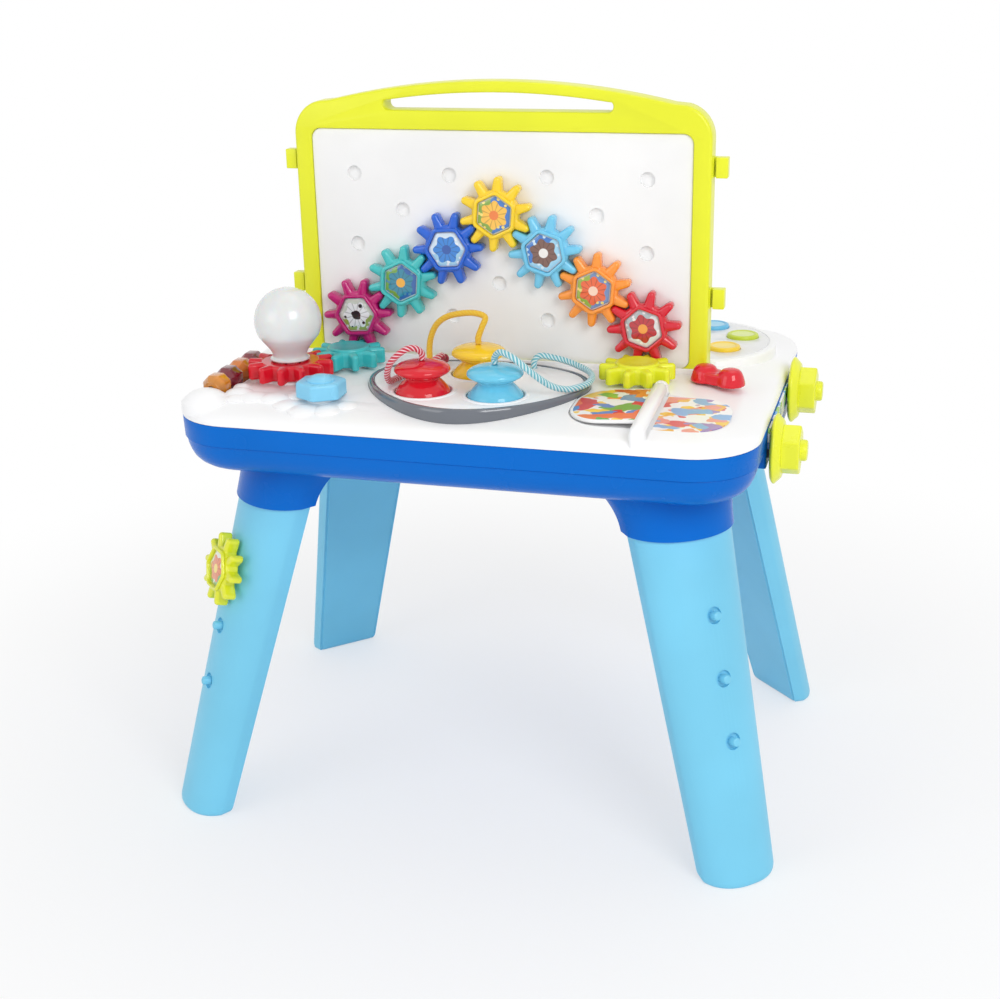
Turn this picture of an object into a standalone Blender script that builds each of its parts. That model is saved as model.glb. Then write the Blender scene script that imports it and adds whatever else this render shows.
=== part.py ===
"""Activity table for toddlers: a tray table on four splayed legs, a lift-out easel with a train
of ten gears, and toys on the deck. Metres, +Z up, +X to the right, the child sits at -Y."""

from math import asin, atan, atan2, cos, degrees, hypot, pi, radians, sin, sqrt

import bmesh
import bpy
from mathutils import Matrix, Vector

MM = 0.001

# Fits
CLEARANCE = 0.3 * MM
RUNNING_GAP = 0.4 * MM

# Tray and deck
TABLE_LENGTH = 452 * MM
TABLE_DEPTH = 352 * MM
CORNER_RADIUS = 51 * MM
TRAY_HEIGHT = 43 * MM
TRAY_FOOT_INSET = 35 * MM
TRAY_WALL = 3 * MM
SEAM_DROP = 17 * MM
DECK_CROWN = 16 * MM
DECK_WALL = 3 * MM
LIP_DEPTH = 7 * MM
LIP_WALL = 2.2 * MM
CORNER_STEPS = 4

# Legs: a D section whose flat side looks at the table's centre
LEG_TILT_RUN = 94.8 * MM
LEG_TOP_OUT = 166.6 * MM
LEG_TOP_SIDE = 43 * MM
LEG_FOOT_SIDE = 45.9 * MM
LEG_TOP_WIDTH = 93 * MM
LEG_FOOT_WIDTH = 67.4 * MM
LEG_TOP_THICKNESS = 41.4 * MM
LEG_FOOT_THICKNESS = 32.5 * MM
LEG_LENGTH = 300 * MM
LEG_SOCKET_DROP = 7 * MM
FOOT_ROUNDING = 5 * MM
COLLAR_DEPTH = 35 * MM
COLLAR_WALL = 3 * MM
COLLAR_FLARE = 13 * MM
PEG_PROUD = 5 * MM
PEG_RECESS_DEPTH = 3.2 * MM
PEG_COUNT = 3
PEG_DROP = 95.5 * MM

# Gears: all share one tooth size, so that any two of them run together
GEAR_TEETH = 10
BULB_GEAR_TEETH = 12
TOOTH_REACH = 5.2 * MM
TOOTH_ROOT = 5.9 * MM
TOOTH_FOOT_WIDTH = 7.6 * MM
TOOTH_TIP_WIDTH = 6 * MM
GEAR_THICKNESS = 11 * MM
TOOTH_ROUNDING = 2 * MM
WINDOW_RADIUS = 16.4 * MM
WINDOW_RIM_WIDTH = 3 * MM
WINDOW_RIM_HEIGHT = 2.6 * MM
WINDOW_DEPTH = 5.5 * MM
LENS_THICKNESS = 3.6 * MM
SPIGOT_RADIUS = 5.2 * MM
SPIGOT_BORE = 3.9 * MM
SPIGOT_LENGTH = 3.5 * MM
SPIGOT_BORE_DEPTH = 6 * MM
GEAR_STANDOFF = 0.8 * MM
TABLE_GEAR_THICKNESS = 13 * MM
TABLE_GEAR_HUB = 17 * MM
TABLE_GEAR_HUB_RISE = 1.6 * MM
CROWN_MESH = 3.14 * MM
PEDESTAL_RISE = 2 * MM
PEDESTAL_RADIUS = 14 * MM
AXLE_PIN_RADIUS = 5 * MM

# Easel
EASEL_HALF_WIDTH = 168.4 * MM
EASEL_HEIGHT = 224 * MM
CROWN_DROP = 16 * MM
EASEL_SHOULDER_X = 140 * MM
SHOULDER_RADIUS = 26 * MM
EASEL_FRONT = -14.6 * MM
EASEL_THICKNESS = 22 * MM
EASEL_EDGE = 2.5 * MM
POST_WIDTH = 13.9 * MM
CROWN_BAND = 38 * MM
BOTTOM_BAR_HEIGHT = 9.5 * MM
SLOT_HALF_LENGTH = 92.5 * MM
HANDLE_THICKNESS = 9 * MM
SLOT_HEIGHT = 14.2 * MM
SLOT_END_RADIUS = 4.5 * MM
TONGUE_WIDTH = 16 * MM
TONGUE_INSET = 2.4 * MM
TONGUE_THICKNESS = 13 * MM
TONGUE_LENGTH = 27 * MM
HOOK_REACH = 11.5 * MM
HOOK_HEIGHT = 15.5 * MM
HOOK_THICKNESS = 10 * MM
UPPER_HOOK_DROP = 63.7 * MM
LOWER_HOOK_DROP = 165 * MM
BOARD_INSET = 2 * MM
BOARD_THICKNESS = 7 * MM
BACK_BOARD_THICKNESS = 2.2 * MM
BOARD_CORNER = 8 * MM
SOCKET_DEPTH = 3.8 * MM
SOCKET_COLUMN = 39.8 * MM
SOCKET_ROW = 28.445 * MM
LOWEST_GEAR_RISE = 3.455 * MM

# Easel rail on the deck
RAIL_RISE = 4 * MM
RAIL_FRONT_WALL = 1.5 * MM
RAIL_WALL = 4 * MM
RAIL_SLOT_DROP = 7 * MM

# Plate with the three plugs
PLATE_HALF_WIDTH = 85.9 * MM
PLATE_HALF_DEPTH = 70 * MM
PLATE_SKEW = 0.248
PLATE_Y = -92 * MM
PLATE_RISE = 4.3 * MM
PLATE_BED_DROP = 13.1 * MM
PLATE_RIM_WIDTH = 4.5 * MM
PLATE_LEDGE = 3 * MM
PLATE_THICKNESS = 3.3 * MM
PLATE_SLOPE = 1.5 * MM
PLATE_STEPS = 26
PLUG_PLACES = {
    "red": (-32.5 * MM, -117 * MM),
    "yellow": (-4 * MM, -62 * MM),
    "blue": (25 * MM, -117 * MM),
}
PLUG_RADIUS = 21.5 * MM
PLUG_WAIST = 13 * MM
PLUG_HEIGHT = 23.5 * MM
PLUG_SPIGOT = 9 * MM
PLUG_SPIGOT_LENGTH = 11 * MM
ROPE_DIAMETER = 5 * MM
ROPE_HOLE = 3.2 * MM
ROPE_TAIL = 32 * MM
ROPE_STEP = 11 * MM

# Bulb
BULB_RADIUS = 27.3 * MM
BULB_NECK = 13.2 * MM
BULB_HEIGHT = 75 * MM
BULB_WALL = 1.8 * MM
BULB_DIRECTION = radians(232)

# Hexagonal nut
NUT_PLACE = (-110 * MM, -131 * MM)
NUT_RADIUS = 20 * MM
NUT_HEIGHT = 12 * MM
NUT_DOME = 4.5 * MM
NUT_PIN = 4 * MM

# Beads
BEAD_X = -200 * MM
BEAD_ROW_START = -137 * MM
BEAD_LENGTH = 22 * MM
BEAD_COUNT = 4
BEAD_RADIUS = 10.5 * MM
BEAD_AXLE_RISE = 0.5 * MM
BEAD_GAP = 0.6 * MM
BRACKET = 5 * MM
BEAD_AXLE_RADIUS = 2.5 * MM

# Book
BOOK_X = 143 * MM
BOOK_FRONT = -150 * MM
BOOK_DEPTH = 74 * MM
BOOK_BED_DROP = 5.6 * MM
BOOK_TILT = radians(3.2)
PAGE_WIDTH = 59 * MM
PAGE_THICKNESS = 2.4 * MM
PAGE_CORNER = 28 * MM
PAGE_MARGIN = 2 * MM
SPINE_RADIUS = 5.5 * MM
SPINE_PIN_RADIUS = 1.9 * MM
SPINE_OVERHANG = 14 * MM
SPINE_POST = 4 * MM

# Switch, button pad and buttons
SWITCH_PLACE = (181 * MM, -38 * MM)
SWITCH_LENGTH = 50 * MM
SWITCH_WIDTH = 21 * MM
SWITCH_HEIGHT = 12 * MM
SWITCH_TURN = radians(-24)
PAD_PLACE = (141 * MM, 78 * MM)
PAD_RADIUS = 71.5 * MM
PAD_RISE = 3.5 * MM
BUTTON_PLACES = {
    "blue": (153.4 * MM, 125 * MM),
    "green": (182.4 * MM, 96 * MM),
    "yellow": (172.5 * MM, 55 * MM),
}
BUTTON_RADIUS = 13.2 * MM
BUTTON_PROUD = 3 * MM
BUTTON_HEIGHT = 6.5 * MM
BUTTON_TRAVEL = 3 * MM

# Side knobs
KNOB_Y = {"front": -78 * MM, "rear": 43 * MM}
KNOB_DROP = {"front": 20 * MM, "rear": 9 * MM}
KNOB_HUB_RADIUS = 7.6 * MM
KNOB_HUB_PROUD = 2.9 * MM
KNOB_FLANGE = 26.5 * MM
KNOB_NUT_RADIUS = 19.6 * MM
KNOB_NUT_LENGTH = 13 * MM
KNOB_CAP_RADIUS = 8 * MM
PANEL_THICKNESS = 1.5 * MM

# Inside and underside
BATTERY_DOOR = (90 * MM, 58 * MM)
BATTERY_BOX_HEIGHT = 17 * MM
BATTERY_Y = 35 * MM
SPEAKER_PLACE = (0 * MM, -90 * MM)
SPEAKER_RADIUS = 26 * MM

# Derived heights and places
TRAY_BOTTOM = LEG_LENGTH - TRAY_WALL
COVER_LINE = TRAY_BOTTOM + TRAY_HEIGHT
DECK_TOP = COVER_LINE + DECK_CROWN
LEG_SOCKET_TOP = LEG_LENGTH - LEG_SOCKET_DROP
COLLAR_BOTTOM = TRAY_BOTTOM - COLLAR_DEPTH
RAIL_TOP = DECK_TOP + RAIL_RISE
SLOT_FLOOR = DECK_TOP - RAIL_SLOT_DROP
EASEL_TOP = DECK_TOP + EASEL_HEIGHT
WINDOW_TOP = EASEL_TOP - CROWN_BAND
SLOT_TOP = EASEL_TOP - HANDLE_THICKNESS
SLOT_BOTTOM = SLOT_TOP - SLOT_HEIGHT
TONGUE_OUTER = EASEL_HALF_WIDTH - TONGUE_INSET
TONGUE_INNER = TONGUE_OUTER - TONGUE_WIDTH
EASEL_BACK = EASEL_FRONT + EASEL_THICKNESS
EASEL_BOTTOM = SLOT_FLOOR + CLEARANCE
BOARD_FRONT = EASEL_FRONT + BOARD_INSET
GEAR_SPACING = hypot(SOCKET_COLUMN, SOCKET_ROW)
PITCH_RADIUS = GEAR_SPACING / 2
SOCKET_RADIUS = SPIGOT_RADIUS + 2 * RUNNING_GAP
LOWEST_ROW_Z = RAIL_TOP + LOWEST_GEAR_RISE + PITCH_RADIUS + TOOTH_REACH
TRAIN_ANGLE = degrees(atan2(SOCKET_ROW, SOCKET_COLUMN))
PEDESTAL_TOP = DECK_TOP + PEDESTAL_RISE
TABLE_GEAR_X = 3 * SOCKET_COLUMN
TABLE_GEAR_Y = BOARD_FRONT - GEAR_STANDOFF - GEAR_THICKNESS / 2 - PITCH_RADIUS - CROWN_MESH
BULB_SPACING = PITCH_RADIUS * (GEAR_TEETH + BULB_GEAR_TEETH) / GEAR_TEETH
BULB_PLACE = (-TABLE_GEAR_X + BULB_SPACING * cos(BULB_DIRECTION),
              TABLE_GEAR_Y + BULB_SPACING * sin(BULB_DIRECTION))
BULB_TOP = DECK_TOP + BULB_HEIGHT
PLATE_TOP = DECK_TOP + PLATE_RISE
PLATE_BED = PLATE_TOP - PLATE_BED_DROP
PLATE_FLOOR = PLATE_TOP - PLATE_THICKNESS
BEAD_AXLE_Z = DECK_TOP + BEAD_AXLE_RISE
PAD_TOP = DECK_TOP + PAD_RISE
KNOB_PLACES = {name: (KNOB_Y[name], COVER_LINE - KNOB_DROP[name]) for name in KNOB_Y}

LIME = (0.80, 0.82, 0.05)
TRAY_BLUE = (0.01, 0.16, 0.60)
LEG_BLUE = (0.17, 0.61, 0.83)
WHITE = (0.90, 0.90, 0.90)
SLATE = (0.14, 0.15, 0.18)
RED = (0.68, 0.02, 0.03)
DARK_RED = (0.25, 0.005, 0.02)
YELLOW = (0.95, 0.60, 0.03)
PALE_BLUE = (0.16, 0.55, 0.85)
MAGENTA = (0.52, 0.005, 0.16)
TEAL = (0.07, 0.58, 0.58)
BLUE = (0.01, 0.16, 0.72)
ORANGE = (0.95, 0.30, 0.04)
GREEN = (0.35, 0.70, 0.15)
BLACK = (0.01, 0.01, 0.01)
CLEAR = (0.85, 0.90, 0.92)

for item in list(bpy.data.objects):
    bpy.data.objects.remove(item)
table = bpy.data.objects.new("table_frame", None)
bpy.context.collection.objects.link(table)


def recalculated(bm):
    """Turn every face of a closed mesh outwards."""
    bmesh.ops.recalc_face_normals(bm, faces=bm.faces)
    return bm


def loft(rings):
    """A closed solid through rings of equally many points, with flat ends."""
    bm = bmesh.new()
    loops = [[bm.verts.new(point) for point in ring] for ring in rings]
    for lower, upper in zip(loops, loops[1:]):
        for index, corner in enumerate(lower):
            after = (index + 1) % len(lower)
            bm.faces.new((corner, lower[after], upper[after], upper[index]))
    bm.faces.new(reversed(loops[0]))
    bm.faces.new(loops[-1])
    return recalculated(bm)


def lathe(profile, steps, closed=False):
    """Turn a profile of (radius, height) about Z; an open one starts and ends on the axis."""
    bm = bmesh.new()
    rings = []
    for radius, height in profile:
        if radius == 0:
            rings.append([bm.verts.new((0, 0, height))])
            continue
        turns = [2 * pi * step / steps for step in range(steps)]
        rings.append([bm.verts.new((radius * cos(turn), radius * sin(turn), height)) for turn in turns])
    pairs = list(zip(rings, rings[1:]))
    if closed:
        pairs.append((rings[-1], rings[0]))
    for first, second in pairs:
        for step in range(steps):
            after = (step + 1) % steps
            corners = (first[step % len(first)], first[after % len(first)],
                       second[after % len(second)], second[step % len(second)])
            corners = tuple(dict.fromkeys(corners))
            if len(corners) > 2:
                bm.faces.new(corners)
    return recalculated(bm)


def prism(outline, bottom, top):
    """An outline of (x, y) points raised from bottom to top."""
    return loft([[(x, y, height) for x, y in outline] for height in (bottom, top)])


def disc(radius, bottom, top, place=(0, 0), steps=24):
    """A plain round solid on a vertical axis."""
    outline = polygon(radius, steps)
    return prism([(place[0] + x, place[1] + y) for x, y in outline], bottom, top)


def polygon(radius, sides, turn=0.0):
    """The corners of a regular polygon."""
    turns = [turn + 2 * pi * side / sides for side in range(sides)]
    return [(radius * cos(angle), radius * sin(angle)) for angle in turns]


def block(low, high):
    """A box between two opposite corners."""
    outline = [(low[0], low[1]), (high[0], low[1]), (high[0], high[1]), (low[0], high[1])]
    return prism(outline, low[2], high[2])


def rounded_rectangle(half_x, half_y, radius, steps=CORNER_STEPS):
    """A rectangle with round corners, about the origin."""
    outline = []
    for quarter, (side_x, side_y) in enumerate(((1, 1), (-1, 1), (-1, -1), (1, -1))):
        for step in range(steps + 1):
            angle = (quarter + step / steps) * pi / 2
            outline.append((side_x * (half_x - radius) + radius * cos(angle),
                            side_y * (half_y - radius) + radius * sin(angle)))
    return outline


def moved(bm, offset):
    bmesh.ops.translate(bm, verts=bm.verts, vec=offset)
    return bm


def turned(bm, matrix):
    bmesh.ops.transform(bm, matrix=matrix, verts=bm.verts)
    return bm


def rounded_edges(bm, width, segments=1, sharper_than=50, test=None):
    """Round the sharp edges; test may pick some of them."""
    edges = [edge for edge in bm.edges
             if len(edge.link_faces) == 2 and edge.calc_face_angle() > radians(sharper_than)
             and (test is None or test(edge))]
    bmesh.ops.bevel(bm, geom=edges, offset=width, segments=segments, profile=0.5,
                    affect="EDGES", clamp_overlap=True)
    return bm


def combined(base, tool, operation):
    """The exact boolean of two closed meshes; both are used up."""
    objects = []
    for name, bm in (("base", base), ("tool", tool)):
        mesh = bpy.data.meshes.new(name)
        bm.to_mesh(mesh)
        bm.free()
        item = bpy.data.objects.new(name, mesh)
        bpy.context.collection.objects.link(item)
        objects.append(item)
    modifier = objects[0].modifiers.new(operation.lower(), "BOOLEAN")
    modifier.operation = operation
    modifier.solver = "EXACT"
    modifier.object = objects[1]
    depsgraph = bpy.context.evaluated_depsgraph_get()
    result = bmesh.new()
    result.from_mesh(objects[0].evaluated_get(depsgraph).to_mesh())
    for item in objects:
        mesh = item.data
        bpy.data.objects.remove(item)
        bpy.data.meshes.remove(mesh)
    bmesh.ops.dissolve_degenerate(result, dist=1e-6, edges=result.edges)
    bmesh.ops.dissolve_limit(result, angle_limit=radians(0.05), verts=result.verts, edges=result.edges)
    return result


def joined(base, *tools):
    for tool in tools:
        base = combined(base, tool, "UNION")
    return base


def cut(base, *tools):
    for tool in tools:
        base = combined(base, tool, "DIFFERENCE")
    return base


def material(name, colour, roughness, transmission):
    surface = bpy.data.materials.new(name)
    surface.use_nodes = True
    shader = surface.node_tree.nodes["Principled BSDF"]
    shader.inputs["Base Color"].default_value = (*colour, 1)
    shader.inputs["Roughness"].default_value = roughness
    shader.inputs["Metallic"].default_value = 0
    shader.inputs["Transmission Weight"].default_value = transmission
    surface.diffuse_color = (*colour, 1)
    return surface


def add(name, bm, colour, place=(0, 0, 0), turn=None, roughness=0.35, transmission=0.0):
    """Make one part of the table; its mesh is about its own origin."""
    mesh = bpy.data.meshes.new(name)
    bm.to_mesh(mesh)
    bm.free()
    item = bpy.data.objects.new(name, mesh)
    bpy.context.collection.objects.link(item)
    item.parent = table
    item.matrix_local = Matrix.Translation(place) @ (turn or Matrix())
    mesh.materials.append(material(name, colour, roughness, transmission))
    mesh.shade_smooth()
    mesh.set_sharp_from_angle(angle=radians(35))
    return item


# Tray

def tray_profile():
    """Inset and height of the tray's outside, from its flat underside to its rim."""
    seam = COVER_LINE - SEAM_DROP
    rounding = seam - TRAY_BOTTOM
    profile = [(TRAY_FOOT_INSET, TRAY_BOTTOM)]
    for share, inset in ((0.08, 0.62), (0.24, 0.36), (0.5, 0.16), (0.78, 0.07)):
        profile.append((TRAY_FOOT_INSET * inset, TRAY_BOTTOM + rounding * share))
    profile += [(1.6 * MM, seam), (0.6 * MM, seam + 0.5 * MM), (0.0, COVER_LINE - CLEARANCE / 2)]
    return profile


def offset_profile(profile, distance):
    """The same profile, moved inwards by a wall."""
    result = []
    for index, (inset, height) in enumerate(profile):
        before = profile[max(index - 1, 0)]
        after = profile[min(index + 1, len(profile) - 1)]
        run, rise = before[0] - after[0], after[1] - before[1]
        length = hypot(run, rise)
        result.append((inset + distance * rise / length, height + distance * run / length))
    return result


def body_ring(inset, height):
    """The table's rounded rectangle at one inset and height."""
    radius = max(CORNER_RADIUS - inset, 6 * MM)
    outline = rounded_rectangle(TABLE_LENGTH / 2 - inset, TABLE_DEPTH / 2 - inset, radius)
    return [(x, y, height) for x, y in outline]


def leg_section(height, grow=0.0, flare=0.0):
    """The leg's D section at one height, in the front right corner's own diagonal frame."""
    share = 1 - height / LEG_LENGTH
    out = LEG_TOP_OUT + LEG_TILT_RUN * share
    side = LEG_TOP_SIDE + (LEG_FOOT_SIDE - LEG_TOP_SIDE) * share
    width = LEG_TOP_WIDTH + (LEG_FOOT_WIDTH - LEG_TOP_WIDTH) * share + 2 * grow + 2 * flare
    thickness = LEG_TOP_THICKNESS + (LEG_FOOT_THICKNESS - LEG_TOP_THICKNESS) * share + 2 * grow
    out -= grow + flare
    thickness += flare
    corner = min(6 * MM, thickness / 3)
    section = []
    arc_steps = 8
    for step in range(arc_steps + 1):
        angle = radians(-76 + 152 * step / arc_steps)
        section.append((out + thickness * cos(angle) ** 0.8, side + width / 2 * sin(angle)))
    section.append((out + corner / 3, side + width / 2 - corner / 3))
    section.append((out, side + width / 2 - corner))
    section.append((out, side - width / 2 + corner))
    section.append((out + corner / 3, side - width / 2 + corner / 3))
    return [Vector((out + side, out - side)) / sqrt(2) for out, side in section]


def corner_ring(section, height, right, back):
    """A leg section taken to one of the table's four corners."""
    return [(x * right, y * back, height) for x, y in section]


def shrunk(section, amount):
    """A section drawn in towards its middle."""
    middle = sum(section, Vector((0, 0))) / len(section)
    return [point + (middle - point).normalized() * amount for point in section]


def collar(right, back):
    """The flared socket under one corner of the tray."""
    top = TRAY_BOTTOM + TRAY_WALL * 0.7
    rings = []
    steps = 3
    for step in range(steps + 1):
        share = step / steps
        height = COLLAR_BOTTOM + (top - COLLAR_BOTTOM) * share
        rings.append(corner_ring(leg_section(height, COLLAR_WALL, COLLAR_FLARE * share ** 2), height, right, back))
    return loft(rings)


def leg_pocket(right, back):
    """The room inside a collar for the leg's upper end."""
    rings = []
    for height in (COLLAR_BOTTOM - 2 * MM, LEG_SOCKET_TOP):
        rings.append(corner_ring(leg_section(height, CLEARANCE), height, right, back))
    return loft(rings)


def along_x(radius, start, end, place, steps=24):
    """A round solid on an axis along X through place, a (y, z) pair."""
    bm = disc(radius, start, end, steps=steps)
    return moved(turned(bm, Matrix.Rotation(pi / 2, 4, "Y")), (0, *place))


def knob_bore(place):
    """The hole that a knob's hub passes through."""
    return along_x(KNOB_HUB_RADIUS + CLEARANCE, TABLE_LENGTH / 2 - 20 * MM, TABLE_LENGTH / 2 + 10 * MM, place, 12)


PANEL_FACE = TABLE_LENGTH / 2 + 0.2 * MM
PANEL_LOW = COVER_LINE - 18 * MM
PANEL_HIGH = COVER_LINE - 2 * MM
PANEL_START = KNOB_PLACES["front"][0] - 12 * MM
PANEL_END = KNOB_PLACES["rear"][0] + 20 * MM


def battery_opening(grow):
    """The outline of the battery door, or of its hole when grown."""
    half_x, half_y = BATTERY_DOOR[0] / 2 + grow, BATTERY_DOOR[1] / 2 + grow
    return [(x, BATTERY_Y + y) for x, y in rounded_rectangle(half_x, half_y, 5 * MM + grow, 3)]


def make_tray():
    outside = tray_profile()
    walls = offset_profile(outside, TRAY_WALL)
    inside = [(TRAY_FOOT_INSET + TRAY_WALL, TRAY_BOTTOM + TRAY_WALL), walls[2], walls[4], walls[6],
              (walls[-1][0], outside[-1][1])]
    shell = loft([body_ring(*point) for point in outside] + [body_ring(*point) for point in reversed(inside)])
    boss_low = min(place[1] for place in KNOB_PLACES.values()) - KNOB_HUB_RADIUS - 4 * MM
    lip_room = COVER_LINE - LIP_DEPTH - MM
    shell = joined(shell, block((TABLE_LENGTH / 2 - 10 * MM, PANEL_START - 3 * MM, boss_low),
                                (PANEL_FACE, PANEL_END + 3 * MM, lip_room)))
    shell = joined(shell, block((TABLE_LENGTH / 2 - TRAY_WALL + 0.5 * MM, PANEL_START - 3 * MM, lip_room - MM),
                                (PANEL_FACE, PANEL_END + 3 * MM, COVER_LINE - CLEARANCE / 2)))
    for right in (-1, 1):
        for back in (-1, 1):
            shell = joined(shell, collar(right, back))
            shell = cut(shell, leg_pocket(right, back))
    for place in KNOB_PLACES.values():
        shell = cut(shell, knob_bore(place))
    shell = cut(shell, prism(battery_opening(CLEARANCE), TRAY_BOTTOM - 2 * MM, TRAY_BOTTOM + 2 * TRAY_WALL))
    grille = [-14, -7, 0, 7, 14]
    for offset in grille:
        half_length = sqrt((SPEAKER_RADIUS - 5 * MM) ** 2 - (offset * MM) ** 2)
        slot = rounded_rectangle(half_length, 1.4 * MM, 1.3 * MM, 1)
        centre_y = SPEAKER_PLACE[1] + offset * MM
        shell = cut(shell, prism([(SPEAKER_PLACE[0] + x, centre_y + y) for x, y in slot],
                                 TRAY_BOTTOM - 2 * MM, TRAY_BOTTOM + 2 * TRAY_WALL))
    add("tray", shell, TRAY_BLUE, roughness=0.3)


# Legs

PEG_RADIUS = SPIGOT_BORE - RUNNING_GAP
PEG_RECESS = SPIGOT_RADIUS + 3 * RUNNING_GAP
PEG_TOP_Z = LEG_LENGTH - PEG_DROP
LEG_FACE_SLOPE = atan((LEG_TILT_RUN + LEG_FOOT_THICKNESS - LEG_TOP_THICKNESS) / LEG_LENGTH)


def peg_frame(index, right, back):
    """The frame of one leg peg: its origin on the leg's face, its Z axis straight out."""
    height = PEG_TOP_Z - index * GEAR_SPACING * cos(LEG_FACE_SLOPE)
    share = 1 - height / LEG_LENGTH
    out = LEG_TOP_OUT + LEG_TILT_RUN * share
    out += LEG_TOP_THICKNESS + (LEG_FOOT_THICKNESS - LEG_TOP_THICKNESS) * share
    side = LEG_TOP_SIDE + (LEG_FOOT_SIDE - LEG_TOP_SIDE) * share
    place = Vector(((out + side) * right / sqrt(2), (out - side) * back / sqrt(2), height))
    level = Vector((right / sqrt(2), back / sqrt(2), 0))
    axis = level * cos(LEG_FACE_SLOPE) + Vector((0, 0, sin(LEG_FACE_SLOPE)))
    up = Vector((0, 0, 1)) * cos(LEG_FACE_SLOPE) - level * sin(LEG_FACE_SLOPE)
    across = up.cross(axis)
    turn = Matrix((across, up, axis)).transposed().to_4x4()
    return Matrix.Translation(place) @ turn


def make_leg(name, right, back):
    foot = leg_section(0)
    rings = [corner_ring(shrunk(foot, FOOT_ROUNDING * 0.6), 0, right, back),
             corner_ring(shrunk(leg_section(FOOT_ROUNDING * 0.35), FOOT_ROUNDING * 0.2),
                         FOOT_ROUNDING * 0.35, right, back),
             corner_ring(leg_section(FOOT_ROUNDING), FOOT_ROUNDING, right, back)]
    top = LEG_SOCKET_TOP - CLEARANCE
    rings.append(corner_ring(leg_section(top), top, right, back))
    leg = loft(rings)
    if back < 0:
        for index in range(PEG_COUNT):
            frame = peg_frame(index, right, back)
            leg = cut(leg, turned(disc(PEG_RECESS, -PEG_RECESS_DEPTH, 6 * MM, steps=8), frame))
            peg = lathe([(0, -PEG_RECESS_DEPTH - 4 * MM), (PEG_RADIUS, -PEG_RECESS_DEPTH - 4 * MM),
                         (PEG_RADIUS, PEG_PROUD - 1 * MM), (PEG_RADIUS * 0.7, PEG_PROUD), (0, PEG_PROUD)], 8)
            leg = joined(leg, turned(peg, frame))
    add(name, leg, LEG_BLUE, roughness=0.4)


# Gears

def gear_outline(teeth, turn=0.0):
    """Finger teeth with round tips, straight flanks and flat roots."""
    pitch = PITCH_RADIUS * teeth / GEAR_TEETH
    root, tip = pitch - TOOTH_ROOT, pitch + TOOTH_REACH
    cap = TOOTH_TIP_WIDTH / 2
    points = [(root, -TOOTH_FOOT_WIDTH / 2)]
    for angle in (-90, -30, 30, 90):
        points.append((tip - cap + cap * cos(radians(angle)), cap * sin(radians(angle))))
    points.append((root, TOOTH_FOOT_WIDTH / 2))
    outline = []
    for tooth in range(teeth):
        angle = turn + 2 * pi * tooth / teeth
        for out, across in points:
            outline.append((out * cos(angle) - across * sin(angle), out * sin(angle) + across * cos(angle)))
    return outline


def gear_blank(teeth, thickness):
    """The toothed body, rounded along its front edge."""
    bm = prism(gear_outline(teeth), 0, thickness)
    front = [edge for edge in bm.edges if all(vert.co.z > thickness * 0.9 for vert in edge.verts)]
    bmesh.ops.bevel(bm, geom=front, offset=TOOTH_ROUNDING, segments=1, profile=0.5, affect="EDGES",
                    clamp_overlap=True)
    return bm


def windowed_gear():
    """A gear with a hexagonal window frame in front and a hollow spigot behind."""
    bm = prism(gear_outline(GEAR_TEETH), 0, GEAR_THICKNESS)
    rim = WINDOW_RADIUS + WINDOW_RIM_WIDTH
    top = GEAR_THICKNESS + WINDOW_RIM_HEIGHT
    frame = loft([[(x, y, z) for x, y in polygon(radius, 6)]
                  for radius, z in ((rim - 2 * MM, GEAR_THICKNESS - MM), (rim, GEAR_THICKNESS + CLEARANCE),
                                    (rim - MM, top))])
    bm = joined(bm, frame, disc(SPIGOT_RADIUS, -SPIGOT_LENGTH, MM, steps=8))
    bm = cut(bm, prism(polygon(WINDOW_RADIUS, 6), top - WINDOW_DEPTH, top + 5 * MM))
    return cut(bm, disc(SPIGOT_BORE, -SPIGOT_LENGTH - MM, SPIGOT_BORE_DEPTH, steps=8))


def window_lens():
    """The clear hexagonal lens, slightly domed, on the floor of a gear's window."""
    floor = GEAR_THICKNESS + WINDOW_RIM_HEIGHT - WINDOW_DEPTH + CLEARANCE
    radius = WINDOW_RADIUS - CLEARANCE
    levels = ((radius, floor), (radius, floor + LENS_THICKNESS - 1.4 * MM), (radius - 3 * MM, floor + LENS_THICKNESS))
    return loft([[(x, y, z) for x, y in polygon(size, 6)] for size, z in levels])


FACE_FRONT = Matrix.Rotation(pi / 2, 4, "X")
FIRST_PHASE = 3.9


def socket_place(column, row):
    """Centre of a board socket; columns count from the left and rows from the top."""
    return (column - 4) * SOCKET_COLUMN, LOWEST_ROW_Z + (5 - row) * SOCKET_ROW


EASEL_GEARS = [("magenta", MAGENTA, 1, 5), ("teal", TEAL, 2, 4), ("blue", BLUE, 3, 3),
               ("yellow", YELLOW, 4, 2), ("light_blue", PALE_BLUE, 5, 3), ("orange", ORANGE, 6, 4),
               ("red", RED, 7, 5)]


def easel_gear_phases():
    """Tooth angles in degrees at which each gear's teeth stand in its neighbour's gaps."""
    phases = [FIRST_PHASE]
    half_tooth = 180 / GEAR_TEETH
    for index in range(1, len(EASEL_GEARS)):
        climb = EASEL_GEARS[index - 1][3] - EASEL_GEARS[index][3]
        direction = TRAIN_ANGLE * climb
        phases.append(2 * direction + 180 + half_tooth - phases[-1])
    return phases


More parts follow.
